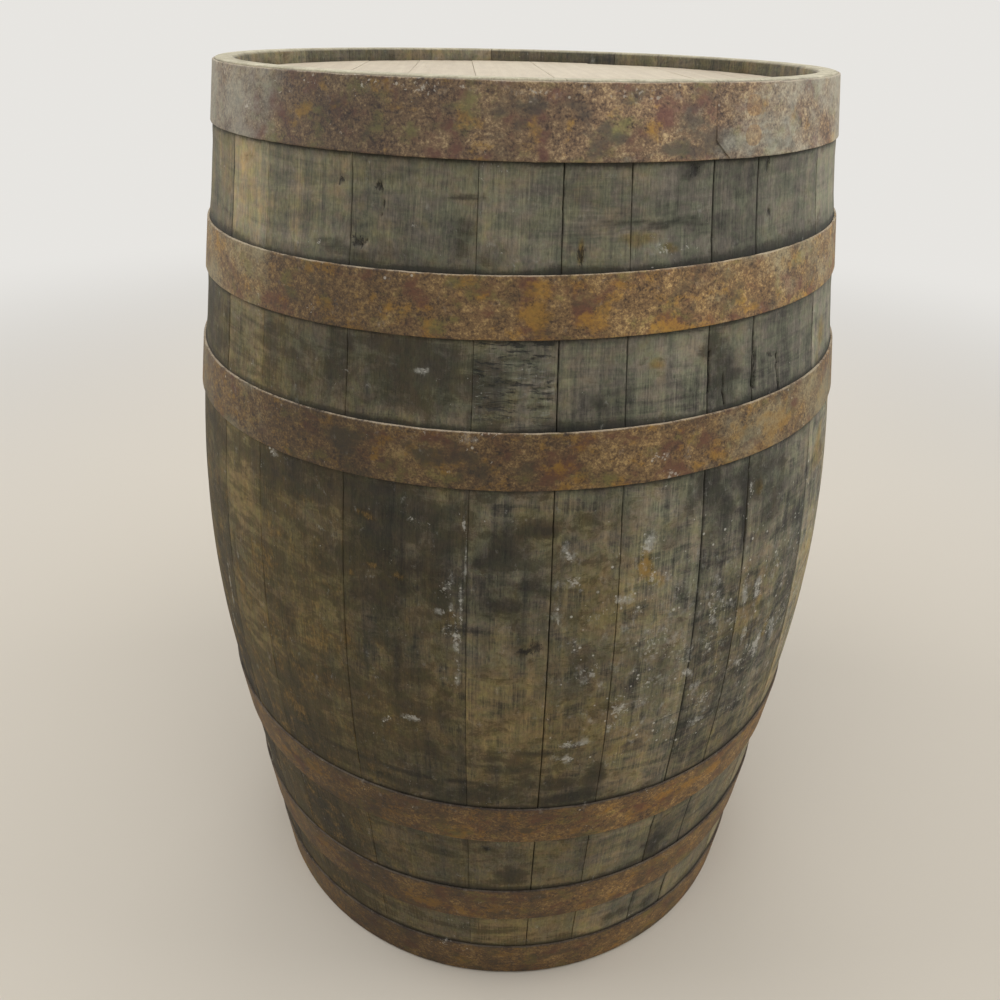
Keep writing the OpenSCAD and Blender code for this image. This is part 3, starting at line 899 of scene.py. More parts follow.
def turned(profile, count):
    """Profile of radius and height turned about the Z axis: a ring of points for each profile point, with
    quads between the rings. A ring of no radius closes an end once merged has joined its points."""
    r, h = (line[:, None] for line in np.array(profile).T)
    angle = np.linspace(0, 2 * math.pi, count, endpoint=False)[None, :]
    number = np.arange(len(r) * count).reshape(len(r), count)
    after = np.roll(number, -1, 1)
    quads = np.stack([number[:-1], after[:-1], after[1:], number[1:]], -1).reshape(-1, 4)
    return round_the_axis(r, angle, h).reshape(-1, 3), quads


def merged(piece):
    """Closes the poles of a turned piece: joins points on the same place and turns the faces outwards."""
    work = bmesh.new()
    work.from_mesh(piece.data)
    bmesh.ops.remove_doubles(work, verts=work.verts, dist=1e-6)
    bmesh.ops.recalc_face_normals(work, faces=work.faces)
    work.to_mesh(piece.data)
    work.free()
    return piece


def placed(points, place):
    """Points moved and turned by a matrix."""
    place = np.array(place)
    return points @ place[:3, :3].T + place[:3, 3]


def lap_rivets():
    """The low domes of all laps: a bowed cap over a flat base, turned, then set square on each strip."""
    dome = [(rivet_r * s, rivet_proud * (1 - s * s)) for s in np.linspace(0, 1, 9)]
    cap, quads = turned(dome + [(rivet_r * 0.98, -rivet_sunk), (0, -rivet_sunk)], 28)
    clouds, dust, light = [], [], []
    for hoop in hoops:
        low, high, rise = hoop_edges(hoop)
        angle = math.radians(hoop.lap_deg) + lap_len / 2 / mean_radius(low, high)
        aside = from_front(angle)
        for share in rivet_places:
            z = low + share * (high - low) + rise * math.cos(angle)
            lean = taper if z < half_h else -taper
            radius = mean_radius(z, z) + lap_off + hoop_worn_t
            set_out = Matrix.Translation((radius, 0, z)) @ Matrix.Rotation(math.pi / 2 + lean, 4, "Y")
            clouds.append(placed(cap, Matrix.Rotation(angle, 4, "Z") @ set_out))
            # Each rivet takes its hoop's dust, painted side light and painted lightness
            dust.append(dusty_and_lit[hoop.finish] * hoop_dust_and_side_light(aside))
            light.append(hoop.light ** screen_gamma * hoop_tone_and_painted_light(aside))
    shifts = np.arange(len(clouds))[:, None, None] * len(cap)
    faces = (quads[None] + shifts).reshape(-1, 4)
    values = {"dust": np.repeat(dust, len(cap)), "light": np.repeat(light, len(cap))}
    piece = merged(mesh_piece("rusty_hoop_rivets", np.concatenate(clouds), faces, values))
    dress(piece, "hoop_rivets", "barrel", rivet_finish)


def turned_bung():
    """Turned plug on the hole's axis: tapered side, broken edges, and an outer face bruised by the mallet."""
    length = np.array([0, bung_edge, bung_len - bung_edge, bung_len])
    radius = bung_hole_r - bung_play + (length - bung_len + bung_proud) * bung_slope
    radius = radius - np.array([bung_edge, 0, 0, bung_edge])
    turn = np.radians(np.linspace(0, 90, 6))
    corner = [(radius[3] + bung_edge * math.cos(a) * 0.9, length[2] + bung_edge * math.sin(a)) for a in turn]
    face = [(radius[3] * s, bung_len) for s in np.linspace(0.92, 0, 9)]
    side = [(radius[1] + (radius[2] - radius[1]) * s, length[1] + (length[2] - length[1]) * s)
            for s in np.linspace(0, 1, 14)]
    profile = [(0, 0), (radius[0] * 0.5, 0), (radius[0], 0), *side, *corner, *face]
    points, quads = turned(profile, 64)
    x, y, h = points.T
    bruise = rough(x / (7 * MM) + 3, y / (7 * MM), seed=301) * eased(h, bung_len - 2 * MM, bung_len)
    bruised = np.stack([x, y, h - bung_bruise * bruise], -1)
    lie = Matrix.Rotation(-math.pi / 2, 4, "X")
    place = Matrix.Translation((0, bilge_r - bung_len + bung_proud, half_h)) @ lie
    piece = merged(mesh_piece("turned_bung", placed(bruised, place), quads, {"grain": points}))
    dress(piece, "bung", "bung", bung_finish)


# Shader building

def srgb(red, green, blue):
    """Linear colour of a screen colour given from 0 to 255."""
    c = np.array([red, green, blue]) / 255
    return (*np.where(c <= 0.04045, c / 12.92, ((c + 0.055) / 1.055) ** 2.4), 1)


def put(tree, socket, value):
    """Links a socket to a socket, or sets its value."""
    if isinstance(value, bpy.types.NodeSocket):
        tree.links.new(value, socket)
    else:
        socket.default_value = value


def put_all(tree, sockets, values):
    """Links or sets several sockets by name or number."""
    for key, value in dict(values).items():
        put(tree, sockets[key], value)


def add(tree, kind, sockets=(), **settings):
    """New node with these settings, and its named sockets linked or set."""
    made = tree.nodes.new("ShaderNode" + kind)
    for key, value in settings.items():
        setattr(made, key, value)
    put_all(tree, made.inputs, sockets)
    return made


def calc(tree, operation, *values):
    """Result of a sum on values or sockets."""
    return add(tree, "Math", enumerate(values), operation=operation).outputs[0]


def times(tree, first, second):
    """Product of two values or sockets."""
    return calc(tree, "MULTIPLY", first, second)


def weighted(tree, start, *pairs):
    """start plus each value, less its middle of a half, times its weight."""
    total = start
    for value, weight in pairs:
        total = calc(tree, "ADD", total, times(tree, calc(tree, "SUBTRACT", value, 0.5), weight))
    return total


def tinted(tree, share, under, over, kind="MIX"):
    """Colour over laid on colour under by share."""
    sockets = {0: share, 6: under, 7: over}
    return add(tree, "Mix", sockets, data_type="RGBA", blend_type=kind).outputs[2]


def laid(tree, under, mask, most, colour):
    """A screen colour laid on colour under by a mask, at most by the share most."""
    return tinted(tree, times(tree, mask, most), under, srgb(*colour))


def dyed(tree, under, colour):
    """Colour under multiplied by another colour."""
    return tinted(tree, 1.0, under, colour, "MULTIPLY")


def noise(tree, vector, scale, detail=3.0, roughness=0.55, distortion=0.0):
    """Value of a noise texture, with scale either one number or a stretch along each axis."""
    if not isinstance(scale, (int, float)):
        vector = add(tree, "VectorMath", {0: vector, 1: scale}, operation="MULTIPLY").outputs[0]
        scale = 1.0
    sockets = {"Vector": vector, "Scale": scale, "Detail": detail}
    sockets.update({"Roughness": roughness, "Distortion": distortion})
    return add(tree, "TexNoise", sockets).outputs["Fac"]


def spread(tree, value, low, high, to_low=0.0, to_high=1.0):
    """Value stretched so that low to high becomes to_low to to_high, and held there outside."""
    sockets = {"Value": value, "From Min": low, "From Max": high, "To Min": to_low, "To Max": to_high}
    return add(tree, "MapRange", sockets, interpolation_type="SMOOTHSTEP").outputs["Result"]


def ramp(tree, value, stops):
    """Colour from a row of (place, screen colour) stops."""
    made = add(tree, "ValToRGB", {"Fac": value})
    stripe = made.color_ramp.elements
    while len(stripe) < len(stops):
        stripe.new(0.5)
    for element, (place, colour) in zip(stripe, stops):
        element.position = place
        element.color = srgb(*colour)
    return made.outputs["Color"]


def object_place(tree):
    """Object coordinates."""
    return add(tree, "TexCoord").outputs["Object"]


def point_value(tree, name, output="Fac"):
    """A value that the piece carries on its points."""
    return add(tree, "Attribute", attribute_name=name).outputs[output]


def raised(tree, level, name, weight):
    """Level plus weight times a value that the piece carries on its points."""
    return calc(tree, "MULTIPLY_ADD", point_value(tree, name), weight, level)


def new_group(name, inputs, outputs):
    """Node group with named sockets. An input with a value is a float, one without is a vector. An output
    is a float, or a colour if that is its name."""
    tree = bpy.data.node_groups.new(name, "ShaderNodeTree")
    for key, value in inputs.items():
        kind = "NodeSocketVector" if value is None else "NodeSocketFloat"
        socket = tree.interface.new_socket(key, in_out="INPUT", socket_type=kind)
        if value is not None:
            socket.default_value = value
    for key in outputs:
        kind = "NodeSocketColor" if key == "Color" else "NodeSocketFloat"
        tree.interface.new_socket(key, in_out="OUTPUT", socket_type=kind)
    return tree, tree.nodes.new("NodeGroupInput").outputs, tree.nodes.new("NodeGroupOutput").inputs


def use(tree, group, **sockets):
    """Places a group in a material with its own values, and gives its outputs."""
    made = tree.nodes.new("ShaderNodeGroup")
    made.node_tree = group
    put_all(tree, made.inputs, sockets)
    return made.outputs


def new_finish(name):
    """Material with an empty Principled shader, and its tree."""
    material = bpy.data.materials.new(name)
    material.use_nodes = True
    return material, material.node_tree, material.node_tree.nodes["Principled BSDF"]


def bumped(tree, height, strength, distance):
    """Normal bent by a height that is distance deep."""
    return add(tree, "Bump", {"Height": height, "Strength": strength, "Distance": distance}).outputs["Normal"]


def finish_shader(tree, shader, colour, roughness, normal, shine=0.5):
    """Links colour, roughness and normal to the shader, and sets its shine."""
    values = {"Base Color": colour, "Roughness": roughness, "Normal": normal, "Specular IOR Level": shine}
    put_all(tree, shader.inputs, values)


# Effects that several finishes share

def make_grain():
    """Wood grain on (across, along, layer) in metres: fine fibres, broad streaks, mottling, grit, pores,
    saw marks and cracks, each a noise stretched along the grain or, for the saw, across it. A crack runs
    where its noise is close to a half."""
    names = ("Fibre", "Streak", "Mottle", "Grit", "Pore", "Saw", "Crack")
    tree, start, end = new_group("oak_grain", {"Grain": None}, names)
    grain = start["Grain"]
    winding = noise(tree, grain, (150, 42, 40), 4, 0.66, 0.8)
    put_all(tree, end, {
        "Fibre": noise(tree, grain, (680, 20, 60), 4, 0.64, 0.5),
        "Streak": noise(tree, grain, (105, 3.6, 20), 3, 0.58, 0.4),
        "Mottle": noise(tree, grain, (62, 26, 30), 5, 0.66, 0.6),
        "Grit": noise(tree, grain, (420, 190, 90), 3, 0.7),
        "Pore": spread(tree, noise(tree, grain, (1300, 75, 60), 2), 0.58, 0.7),
        "Saw": noise(tree, grain, (14, 380, 40), 3),
        "Crack": spread(tree, calc(tree, "ABSOLUTE", calc(tree, "SUBTRACT", winding, 0.5)), 0.03, 0.008),
    })
    return tree


def make_grime():
    """Dirt on Object coordinates, which crosses from stave to stave: long smears along the barrel's girth,
    broad clouds, ragged blots, short level flakes and small changes of tint."""
    tree, start, end = new_group("girth_grime", {"Place": None}, ("Smear", "Cloud", "Blot", "Flake", "Tint"))
    place = start["Place"]
    put_all(tree, end, {
        "Smear": noise(tree, place, (10, 10, 52), 6, 0.68, 0.9),
        "Cloud": noise(tree, place, (12, 12, 9), 4, 0.6, 0.3),
        "Blot": noise(tree, place, (40, 40, 50), 8, 0.76, 0.5),
        "Flake": noise(tree, place, (70, 70, 330), 4, 0.7, 0.5),
        "Tint": noise(tree, place, (64, 64, 90), 5, 0.7, 0.4),
    })
    return tree


def make_flecks():
    """Pale dots, flecks and smudges. A dot is the middle of a cell that its own random value picks. Flecks
    and smudges are where a fine and a soft noise pass a limit, and a broad noise gathers the flecks into
    clusters. The density adds to all three."""
    tree, start, end = new_group("pale_flecks", {"Place": None, "Density": 0.2}, ("Dot", "Speck", "Smudge"))
    place, density = start["Place"], start["Density"]
    cells = add(tree, "TexVoronoi", {"Vector": place, "Scale": 200.0})
    draw = add(tree, "SeparateColor", {0: cells.outputs["Color"]}).outputs
    size = calc(tree, "MULTIPLY_ADD", draw["Green"], 0.18, 0.1)
    inside = spread(tree, calc(tree, "SUBTRACT", size, cells.outputs["Distance"]), -0.04, 0.06)
    picked = spread(tree, calc(tree, "MULTIPLY_ADD", density, 0.5, draw["Red"]), 1.0, 1.04)
    fleck = calc(tree, "MULTIPLY_ADD", density, 0.235, noise(tree, place, 290, 4, 0.68, 0.5))
    fleck = weighted(tree, fleck, (noise(tree, place, 30, 3, 0.6), 0.6))
    smudge = calc(tree, "MULTIPLY_ADD", density, 0.42, 0.5)
    smudge = weighted(tree, smudge, (noise(tree, place, (105, 105, 80), 6, 0.74), 2.0))
    put_all(tree, end, {
        "Dot": times(tree, inside, picked),
        "Speck": spread(tree, fleck, 0.73, 0.79),
        "Smudge": spread(tree, smudge, 0.68, 1.14),
    })
    return tree


def make_rust():
    """Rust on Object coordinates: dark brown to tan in grains, with zones of olive, maroon, ochre, black
    and grey over it, the grey both dust and painted side light. Each zone is where its own noise passes a
    limit, ragged at the edge with the grain."""
    zones = [
        ("Olive", (4, 8, 13), (34, 34, 46), 4.8, 0.72, 0.45, (112, 108, 70)),
        ("Maroon", (11, 3, 7), (36, 36, 46), 5.0, 0.74, 0.45, (97, 63, 59)),
        ("Ochre", (2, 9, 4), (40, 40, 50), 5.0, 0.64, 0.75, (156, 120, 60)),
        ("Dark", (5, 1, 8), (36, 36, 50), 4.8, 0.66, 0.45, (62, 60, 57)),
        ("Grey", (7, 6, 1), (17, 17, 24), 2.6, 0.60, 0.5, (150, 147, 137)),
    ]
    levels = {zone[0]: 0.3 for zone in zones}
    outputs = ("Color", "Height", "Speck", "Blotch")
    tree, start, end = new_group("hoop_rust", {"Place": None, **levels}, outputs)
    place = start["Place"]
    blotch = noise(tree, place, 34, 6, 0.74)
    speck = noise(tree, place, 560, 3, 0.7)
    grit = noise(tree, place, (210, 210, 260), 4, 0.68)
    body = ramp(tree, weighted(tree, 0.5, (blotch, 1.3), (speck, 1.4), (grit, 1.3)), [
        (0.1, (58, 46, 42)), (0.36, (96, 77, 63)), (0.62, (127, 104, 82)), (0.92, (178, 153, 120))])
    for key, offset, scale, patchy, most, grains, colour in zones:
        moved = add(tree, "VectorMath", {0: place, 1: offset}, operation="ADD").outputs[0]
        patches = noise(tree, moved, scale, 5, 0.66)
        value = weighted(tree, start[key], (patches, patchy), (speck, grains), (grit, grains))
        grainy = weighted(tree, most, (speck, grains), (grit, 1.3 * grains), (blotch, 0.5))
        body = laid(tree, body, spread(tree, value, 0.45, 1.3), grainy, colour)
    height = weighted(tree, 0.5, (speck, 0.8), (grit, 0.6), (blotch, 0.4))
    put_all(tree, end, {"Color": body, "Height": height, "Speck": speck, "Blotch": blotch})
    return tree


oak_grain = make_grain()
girth_grime = make_grime()
pale_flecks = make_flecks()
hoop_rust = make_rust()


def flecked(tree, under, place, density, layers):
    """Colour under with pale flecks: for each layer the kind of fleck, its largest share and its colour."""
    flecks = use(tree, pale_flecks, Place=place, Density=density)
    for key, most, colour in layers:
        under = laid(tree, under, flecks[key], most, colour)
    return under


# Finishes

def oak_by_tone(tree, grain, grime, saw):
    """Grey-brown wood by the stave's tone, its grain and the grime, more rugged where it is worn."""
    tone = weighted(tree, point_value(tree, "tone"), (grain["Fibre"], 0.44), (grain["Streak"], 0.32),
                    (grain["Grit"], 0.38), (grain["Mottle"], 0.28), (grime["Smear"], 0.62),
                    (grime["Cloud"], 0.6), (grime["Blot"], 0.34))
    rugged = weighted(tree, 0.0, (grime["Blot"], 0.9), (grain["Mottle"], 0.25), (grain["Fibre"], 0.4),
                      (grime["Smear"], 0.6), (grain["Streak"], 0.4))
    tone = calc(tree, "MULTIPLY_ADD", rugged, point_value(tree, "wear"), tone)
    tone = calc(tree, "MULTIPLY_ADD", saw, 0.5, tone)
    wood = ramp(tree, tone, [
        (0.0, (36, 35, 32)), (0.26, (70, 68, 60)), (0.5, (112, 109, 95)), (0.75, (154, 149, 129)),
        (1.0, (192, 184, 158))])
    tint = tinted(tree, spread(tree, grime["Tint"], 0.38, 0.62), srgb(255, 248, 255), srgb(247, 255, 246))
    return dyed(tree, wood, tint)


def yellowed_oak(tree, wood, grain, grime, warmth, crumbs):
    """Wood dyed yellow by its warmth, which low down is painted warm bounce light, with ochre crumbs and dark
    pores.
    """
    warm = weighted(tree, warmth, (grime["Cloud"], 0.8), (grime["Blot"], 0.9), (grain["Mottle"], 0.4),
                    (grain["Streak"], 0.3))
    wood = tinted(tree, spread(tree, warm, 0.1, 0.85), wood, dyed(tree, wood, srgb(255, 229, 178)))
    wood = laid(tree, wood, spread(tree, crumbs, 0.72, 1.4), 0.65, (162, 129, 68))
    return laid(tree, wood, grain["Pore"], 0.3, (46, 43, 36))


def sooted_and_shaded_oak(tree, wood, grain, grime):
    """Wood stained grey by its soot and painted shade, and black where there is most of it, raggedly where it
    is worn.
    """
    ragged = weighted(tree, 0.0, (grime["Blot"], 2.8), (grain["Streak"], 0.4))
    ragged = times(tree, ragged, raised(tree, 0.4, "wear", 0.6))
    soot = weighted(tree, point_value(tree, "soot"), (grime["Smear"], 1.8), (grain["Fibre"], 0.8))
    soot = calc(tree, "ADD", ragged, soot)
    wood = tinted(tree, spread(tree, soot, 0.18, 0.76), wood, dyed(tree, wood, srgb(142, 143, 144)))
    return laid(tree, wood, spread(tree, soot, 0.7, 1.3), 0.7, (33, 33, 32))


def weathered_oak():
    """Stave wood: grey-brown by tone and grain, warmer or greyer by place and warmer low down with painted
    bounce light, blackened where dirt and iron have stained it and where shade and shadow are painted,
    flecked with pale scuffs, paler on the cut ends and charred inside."""
    material, tree, shader = new_finish("weathered_oak")
    place = object_place(tree)
    grain = use(tree, oak_grain, Grain=point_value(tree, "grain", "Vector"))
    grime = use(tree, girth_grime, Place=place)
    warmth = point_value(tree, "warmth")
    saw = times(tree, calc(tree, "SUBTRACT", grain["Saw"], 0.5), point_value(tree, "sawn"))
    crumbs = weighted(tree, 1.0, (grime["Blot"], 2.6), (grain["Mottle"], 1.6), (grain["Grit"], 1.2))
    crumbs = times(tree, crumbs, warmth)
    wood = oak_by_tone(tree, grain, grime, saw)
    wood = yellowed_oak(tree, wood, grain, grime, warmth, crumbs)
    wood = sooted_and_shaded_oak(tree, wood, grain, grime)
    wood = laid(tree, wood, spread(tree, crumbs, 0.9, 1.5), 0.5, (150, 117, 62))
    flake = point_value(tree, "flake")
    lifted = times(tree, spread(tree, grime["Flake"], 0.40, 0.30), flake)
    hollow = times(tree, spread(tree, grime["Flake"], 0.52, 0.60), flake)
    pit = weighted(tree, 0.72, (grain["Grit"], 1.0), (grime["Blot"], 1.0))
    pit = calc(tree, "MULTIPLY_ADD", grain["Crack"], 0.9, pit)
    pit = spread(tree, times(tree, point_value(tree, "pit"), pit), 0.5, 0.95)
    wood = laid(tree, wood, hollow, 0.8, (36, 37, 36))
    wood = laid(tree, wood, lifted, 0.5, (142, 142, 134))
    wood = laid(tree, wood, pit, 0.85, (34, 31, 28))
    bare = ramp(tree, weighted(tree, 0.5, (grime["Blot"], 1.6), (grain["Grit"], 0.8)), [
        (0.2, (149, 140, 117)), (0.8, (212, 204, 179))])
    wood = tinted(tree, times(tree, point_value(tree, "bare_end"), 0.92), wood, bare)
    wood = flecked(tree, wood, place, point_value(tree, "scuff"), [
        ("Smudge", 0.55, (182, 180, 170)), ("Speck", 0.44, (206, 202, 190)), ("Dot", 0.6, (214, 210, 198))])
    wood = tinted(tree, point_value(tree, "char"), wood, srgb(38, 31, 26))
    height = weighted(tree, 0.5, (grain["Fibre"], 0.8), (grain["Mottle"], 0.4), (grain["Grit"], 0.5))
    height = calc(tree, "MULTIPLY_ADD", saw, 0.5, height)
    for dip, deep in ((grain["Pore"], 0.35), (hollow, 0.9), (pit, 1.2)):
        height = calc(tree, "SUBTRACT", height, times(tree, dip, deep))
    matt = spread(tree, grain["Fibre"], 0.2, 0.8, 0.66, 0.88)
    finish_shader(tree, shader, wood, matt, bumped(tree, height, 0.55, 0.9 * MM), shine=0.32)
    return material


def head_oak():
    """Head boards: pale, slightly pink sanded oak with fine grain, dirty at the joints, with painted shade
    round the rim.
    """
    material, tree, shader = new_finish("head_oak")
    place = point_value(tree, "grain", "Vector")
    grain = use(tree, oak_grain, Grain=place)
    tone = weighted(tree, point_value(tree, "tone"), (grain["Fibre"], 0.4), (grain["Streak"], 0.5),
                    (grain["Mottle"], 0.4))
    wood = ramp(tree, tone, [
        (0.0, (132, 117, 100)), (0.35, (168, 154, 134)), (0.65, (186, 173, 151)), (1.0, (202, 191, 170))])
    wood = laid(tree, wood, grain["Pore"], 0.3, (120, 100, 78))
    soot = weighted(tree, point_value(tree, "soot"), (grain["Mottle"], 0.5), (grain["Fibre"], 0.25))
    wood = laid(tree, wood, spread(tree, soot, 0.2, 1.0), 0.7, (82, 72, 60))
    wood = flecked(tree, wood, place, point_value(tree, "scuff"), [("Smudge", 0.3, (226, 220, 204))])
    wood = tinted(tree, point_value(tree, "char"), wood, srgb(44, 36, 30))
    height = weighted(tree, 0.5, (grain["Fibre"], 0.7), (grain["Mottle"], 0.2))
    matt = spread(tree, grain["Fibre"], 0.2, 0.8, 0.6, 0.8)
    finish_shader(tree, shader, wood, matt, bumped(tree, height, 0.35, 0.6 * MM), shine=0.35)
    return material


def rust_in_shade(tree, rust, shade):
    """Colour of the rust, dyed by its hoop's shade and by the lightness that the piece carries, which is
    partly painted light.
    """
    return dyed(tree, dyed(tree, rust["Color"], srgb(*shade)), point_value(tree, "light", "Color"))


def rusty_steel(name, ochre, grey, dark, shade, flecks, highlight, edge_shade):
    """Hoop strip: rust all over, ochre, blackened or dusty in places, grey also with painted side light, its
    upper edge with a painted highlight in spots or painted dark as shade, with pale flecks towards that edge."""
    material, tree, shader = new_finish(name)
    place = object_place(tree)
    rust = use(tree, hoop_rust, Place=place, Olive=0.34, Maroon=raised(tree, 0.38, "maroon", 1.1),
               Ochre=raised(tree, ochre, "ochre", 0.95), Grey=raised(tree, grey, "dust", 0.7),
               Dark=raised(tree, dark, "soot", 1.2))
    steel = rust_in_shade(tree, rust, shade)
    upper = point_value(tree, "upper")
    brink = times(tree, point_value(tree, "edge"), upper)
    # Painted highlight mask along the upper edge, broken into spots
    painted_highlight = times(tree, brink, weighted(tree, 1.0, (rust["Blotch"], 4.0), (rust["Speck"], 1.5)))
    # Painted shade on the upper edge
    steel = laid(tree, steel, brink, edge_shade, (52, 43, 38))
    # Painted highlight on the upper edge
    steel = laid(tree, steel, spread(tree, painted_highlight, 0.45, 1.2), highlight, (178, 164, 142))
    density = calc(tree, "MULTIPLY_ADD", upper, flecks, times(tree, point_value(tree, "scuff"), 0.6))
    steel = flecked(tree, steel, place, density, [
        ("Smudge", 0.4, (178, 170, 156)), ("Speck", 0.5, (204, 196, 180)), ("Dot", 0.5, (208, 200, 184))])
    matt = spread(tree, rust["Height"], 0.2, 0.8, 0.6, 0.82)
    finish_shader(tree, shader, steel, matt, bumped(tree, rust["Height"], 0.6, 0.5 * MM), shine=0.4)
    return material


def rivet_iron():
    """Rivet heads: the same rust as the hoops, with their dust, painted side light and painted lightness, a
    little worn.
    """
    material, tree, shader = new_finish("rivet_iron")
    rust = use(tree, hoop_rust, Place=object_place(tree), Maroon=0.40, Ochre=0.26,
               Grey=raised(tree, 0.1, "dust", 0.7), Dark=0.32)
    steel = rust_in_shade(tree, rust, (246, 233, 206))
    matt = spread(tree, rust["Height"], 0.2, 0.8, 0.5, 0.72)
    finish_shader(tree, shader, steel, matt, bumped(tree, rust["Height"], 0.5, 0.4 * MM))
    return material


def turned_wood(name, vector, dark, light, soaked_to=0):
    """Bung and dowels: close grain along the piece with growth rings on its ends. The bung is dark up to
    the height soaked_to, where the barrel has wetted it."""
    material, tree, shader = new_finish(name)
    place = point_value(tree, "grain", "Vector") if vector == "grain" else object_place(tree)
    grain = use(tree, oak_grain, Grain=place)
    off = add(tree, "Mapping", {"Vector": place, "Location": (0.012, 0.03, 0)}).outputs["Vector"]
    wave = {"Vector": off, "Scale": 120.0, "Distortion": 5.0, "Detail": 4.0, "Detail Scale": 1.5}
    rings = add(tree, "TexWave", wave, wave_type="RINGS", rings_direction="Z").outputs["Fac"]
    tone = weighted(tree, 0.5, (rings, 0.15), (grain["Grit"], 0.8), (grain["Mottle"], 1.4))
    wood = ramp(tree, tone, [(0.1, dark), (0.9, light)])
    if soaked_to:
        along = add(tree, "SeparateXYZ", {0: place}).outputs["Z"]
        along = weighted(tree, along, (grain["Mottle"], 24 * MM))
        wet = spread(tree, along, soaked_to + 1 * MM, soaked_to - 5 * MM)
        wood = laid(tree, wood, wet, 0.72, (64, 46, 36))
    matt = spread(tree, tone, 0.2, 0.8, 0.6, 0.8)
    finish_shader(tree, shader, wood, matt, bumped(tree, tone, 0.3, 0.4 * MM))
    return material


oak_finish = weathered_oak()
head_finish = head_oak()
# The last two values are the painted highlight and the painted shade on each hoop's upper edge
hoop_finishes = {
    "chime": rusty_steel("rusty_chime_hoop", 0.10, 0.16, 0.28, (252, 254, 247), 0.26, highlight=0.65, edge_shade=0.0),
    "upper": rusty_steel("rusty_upper_hoop", 0.32, 0.08, 0.26, (252, 245, 212), 0.15, highlight=0.6, edge_shade=0.0),
    "lower": rusty_steel("rusty_lower_hoop", 0.30, 0.04, 0.40, (231, 218, 173), 0.1, highlight=0.14, edge_shade=0.85),
}
rivet_finish = rivet_iron()
bung_finish = turned_wood("bung_wood", "grain", (92, 75, 56), (158, 134, 102), bung_len - bung_proud)
dowel_finish = turned_wood("dowel_wood", "object", (150, 118, 80), (204, 176, 132))


# Assembly

def build_barrel():
    """All pieces on their CAD bodies. The front's tones, the last of them raised as painted light, gaps and
    grids are given, the rest are drawn.
    """
    draw = np.random.default_rng(5)
    tones_and_edge_light = front_tones_and_edge_light + list(draw.uniform(*back_tones, stave_n - len(front_tones_and_edge_light)))
    gaps = front_gaps + list(draw.uniform(*back_gaps, stave_n - len(front_gaps)))
    for no in range(stave_n):
        usual = front_pitch if no < len(front_tones_and_edge_light) or no == bung_stave_no - 1 else back_pitch
        across, along = close_pitches.get(no, (usual, usual * 1.1))
        weathered_stave(no, tones_and_edge_light[no], (gaps[no], gaps[(no + 1) % stave_n]), (across * MM, along * MM))
    for end in head_turns:
        for name in board_ids:
            head_board(end, name)
    for hoop in hoops:
        hoop_strip(hoop)
    lap_rivets()
    turned_bung()
    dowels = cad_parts["head_dowels"]
    dowels.data.materials.clear()
    dowels.data.materials.append(dowel_finish)


# Studio

pale = (0.80, 0.785, 0.755, 1)
floor_colour = (0.66, 0.60, 0.51, 1)
sky_colour = (0.96, 0.98, 1.0, 1)
floor_r = 14
cam_place = (0, -0.891, 0.927)
cam_pitch, cam_roll, cam_yaw = math.radians(23.68), math.radians(1.385), math.radians(-0.874)
cam_lens = 31.59
cam_sensor = 36
cam_shift = (-0.0023, -0.099)
# Lamps: name, place, the point aimed at, size and power
lamp_rows = [
    ("overhead_lamp", (0.0, -0.7, 2.6), (0, 0, 0.8), 1.6, 19),
    ("back_lamp", (0.0, 2.1, 1.0), (0, 0, 0.5), 1.3, 10),
    ("left_lamp", (-1.9, 0.0, 2.1), (0, 0, 0.8), 1.5, 25),
    ("right_lamp", (1.9, 0.0, 2.1), (0, 0, 0.8), 1.5, 23),
]


def seen_directly(tree):
    """1 for camera, mirror and glass rays, 0 for the light that falls on the barrel."""
    path = add(tree, "LightPath").outputs
    through = calc(tree, "MAXIMUM", path["Is Glossy Ray"], path["Is Transmission Ray"])
    return calc(tree, "MAXIMUM", path["Is Camera Ray"], through)


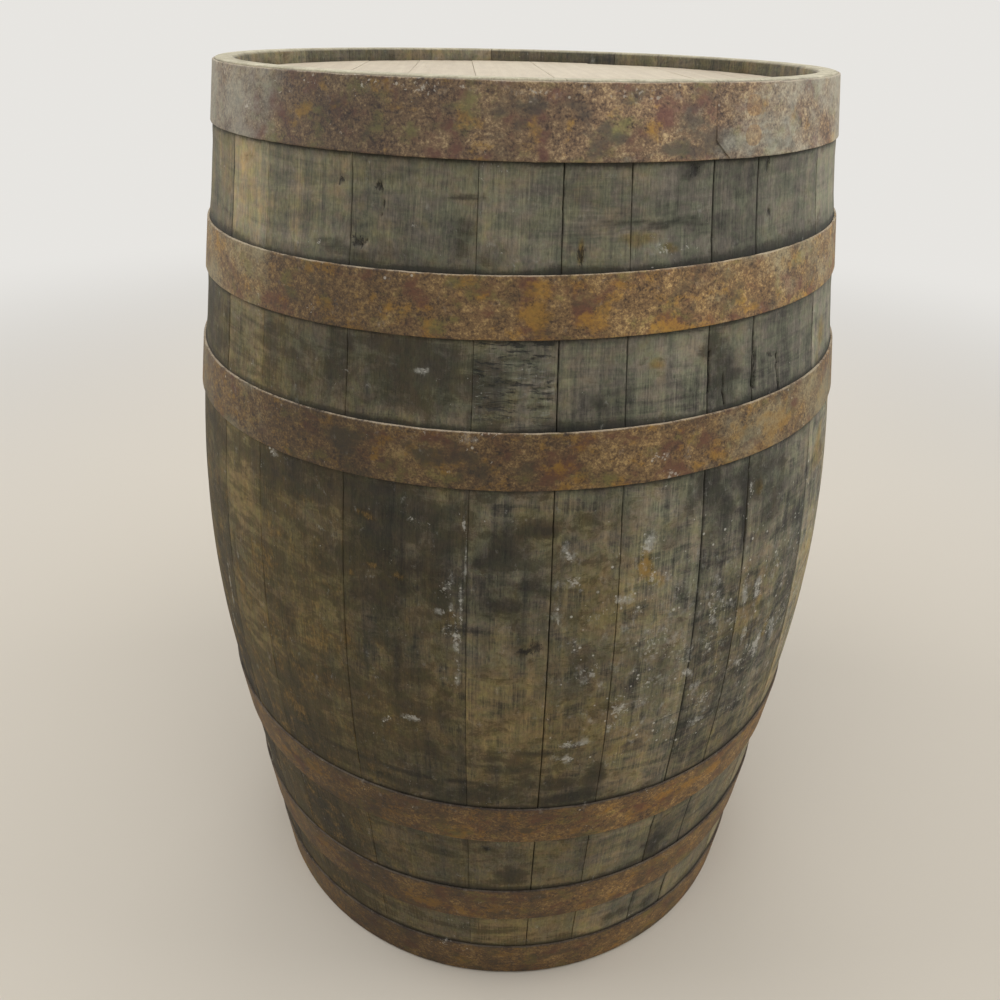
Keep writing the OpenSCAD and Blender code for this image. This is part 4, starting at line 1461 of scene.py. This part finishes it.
def studio_floor():
    """Flat disc under the barrel. Its finish takes the shadow and passes into the backdrop's colour."""
    angle = np.linspace(0, 2 * math.pi, 96, endpoint=False)
    points = round_the_axis(floor_r, angle, 0 * angle - 0.5 * MM)
    mesh = bpy.data.meshes.new("studio_floor")
    mesh.from_pydata(points.tolist(), [], [list(range(len(angle)))])
    floor = new_object("studio_floor", mesh)
    material, tree, shader = new_finish("studio_floor")
    put_all(tree, shader.inputs, {"Base Color": floor_colour, "Roughness": 0.9, "Specular IOR Level": 0.1})
    length = add(tree, "VectorMath", {0: object_place(tree)}, operation="LENGTH").outputs["Value"]
    share = times(tree, spread(tree, length, 0.6, 3.2), seen_directly(tree))
    glow = add(tree, "Emission", {"Color": pale, "Strength": 1.0}).outputs[0]
    shaded = add(tree, "MixShader", {0: share, 1: shader.outputs[0], 2: glow}).outputs[0]
    put(tree, tree.nodes["Material Output"].inputs["Surface"], shaded)
    mesh.materials.append(material)


def studio_light():
    """Even pale surroundings, and four large lamps: above, left, right and, weaker, behind."""
    world = bpy.data.worlds.new("studio")
    bpy.context.scene.world = world
    world.use_nodes = True
    tree = world.node_tree
    tree.nodes.clear()
    around = add(tree, "Background", {"Color": sky_colour, "Strength": 0.42}).outputs[0]
    backdrop = add(tree, "Background", {"Color": pale, "Strength": 1.0}).outputs[0]
    both = add(tree, "MixShader", {0: seen_directly(tree), 1: around, 2: backdrop}).outputs[0]
    put(tree, add(tree, "OutputWorld").inputs["Surface"], both)
    for name, place, aim, size, power in lamp_rows:
        lamp = bpy.data.lights.new(name, "AREA")
        lamp.size = size
        lamp.energy = power
        holder = new_object(name, lamp)
        holder.visible_camera = False
        holder.location = place
        holder.rotation_euler = (Vector(aim) - Vector(place)).to_track_quat("-Z", "Y").to_euler()


def photo_camera():
    """Camera close in front, a little higher than the barrel, looking down, turned and rolled a trifle."""
    flat = math.cos(cam_pitch)
    ahead = Vector((math.sin(cam_yaw) * flat, math.cos(cam_yaw) * flat, -math.sin(cam_pitch)))
    level = Vector((math.cos(cam_yaw), -math.sin(cam_yaw), 0))
    upward = level.cross(ahead)
    right = level * math.cos(cam_roll) + upward * math.sin(cam_roll)
    above = upward * math.cos(cam_roll) - level * math.sin(cam_roll)
    lens = bpy.data.cameras.new("photo_camera")
    lens.lens = cam_lens
    lens.sensor_width = cam_sensor
    lens.shift_x, lens.shift_y = cam_shift
    lens.clip_start = 0.01
    camera = new_object("photo_camera", lens)
    turn = Matrix((right, above, -ahead)).transposed().to_4x4()
    camera.matrix_world = Matrix.Translation(cam_place) @ turn
    bpy.context.scene.camera = camera


build_barrel()
studio_floor()
studio_light()
photo_camera()
bpy.context.scene.view_settings.view_transform = "Standard"
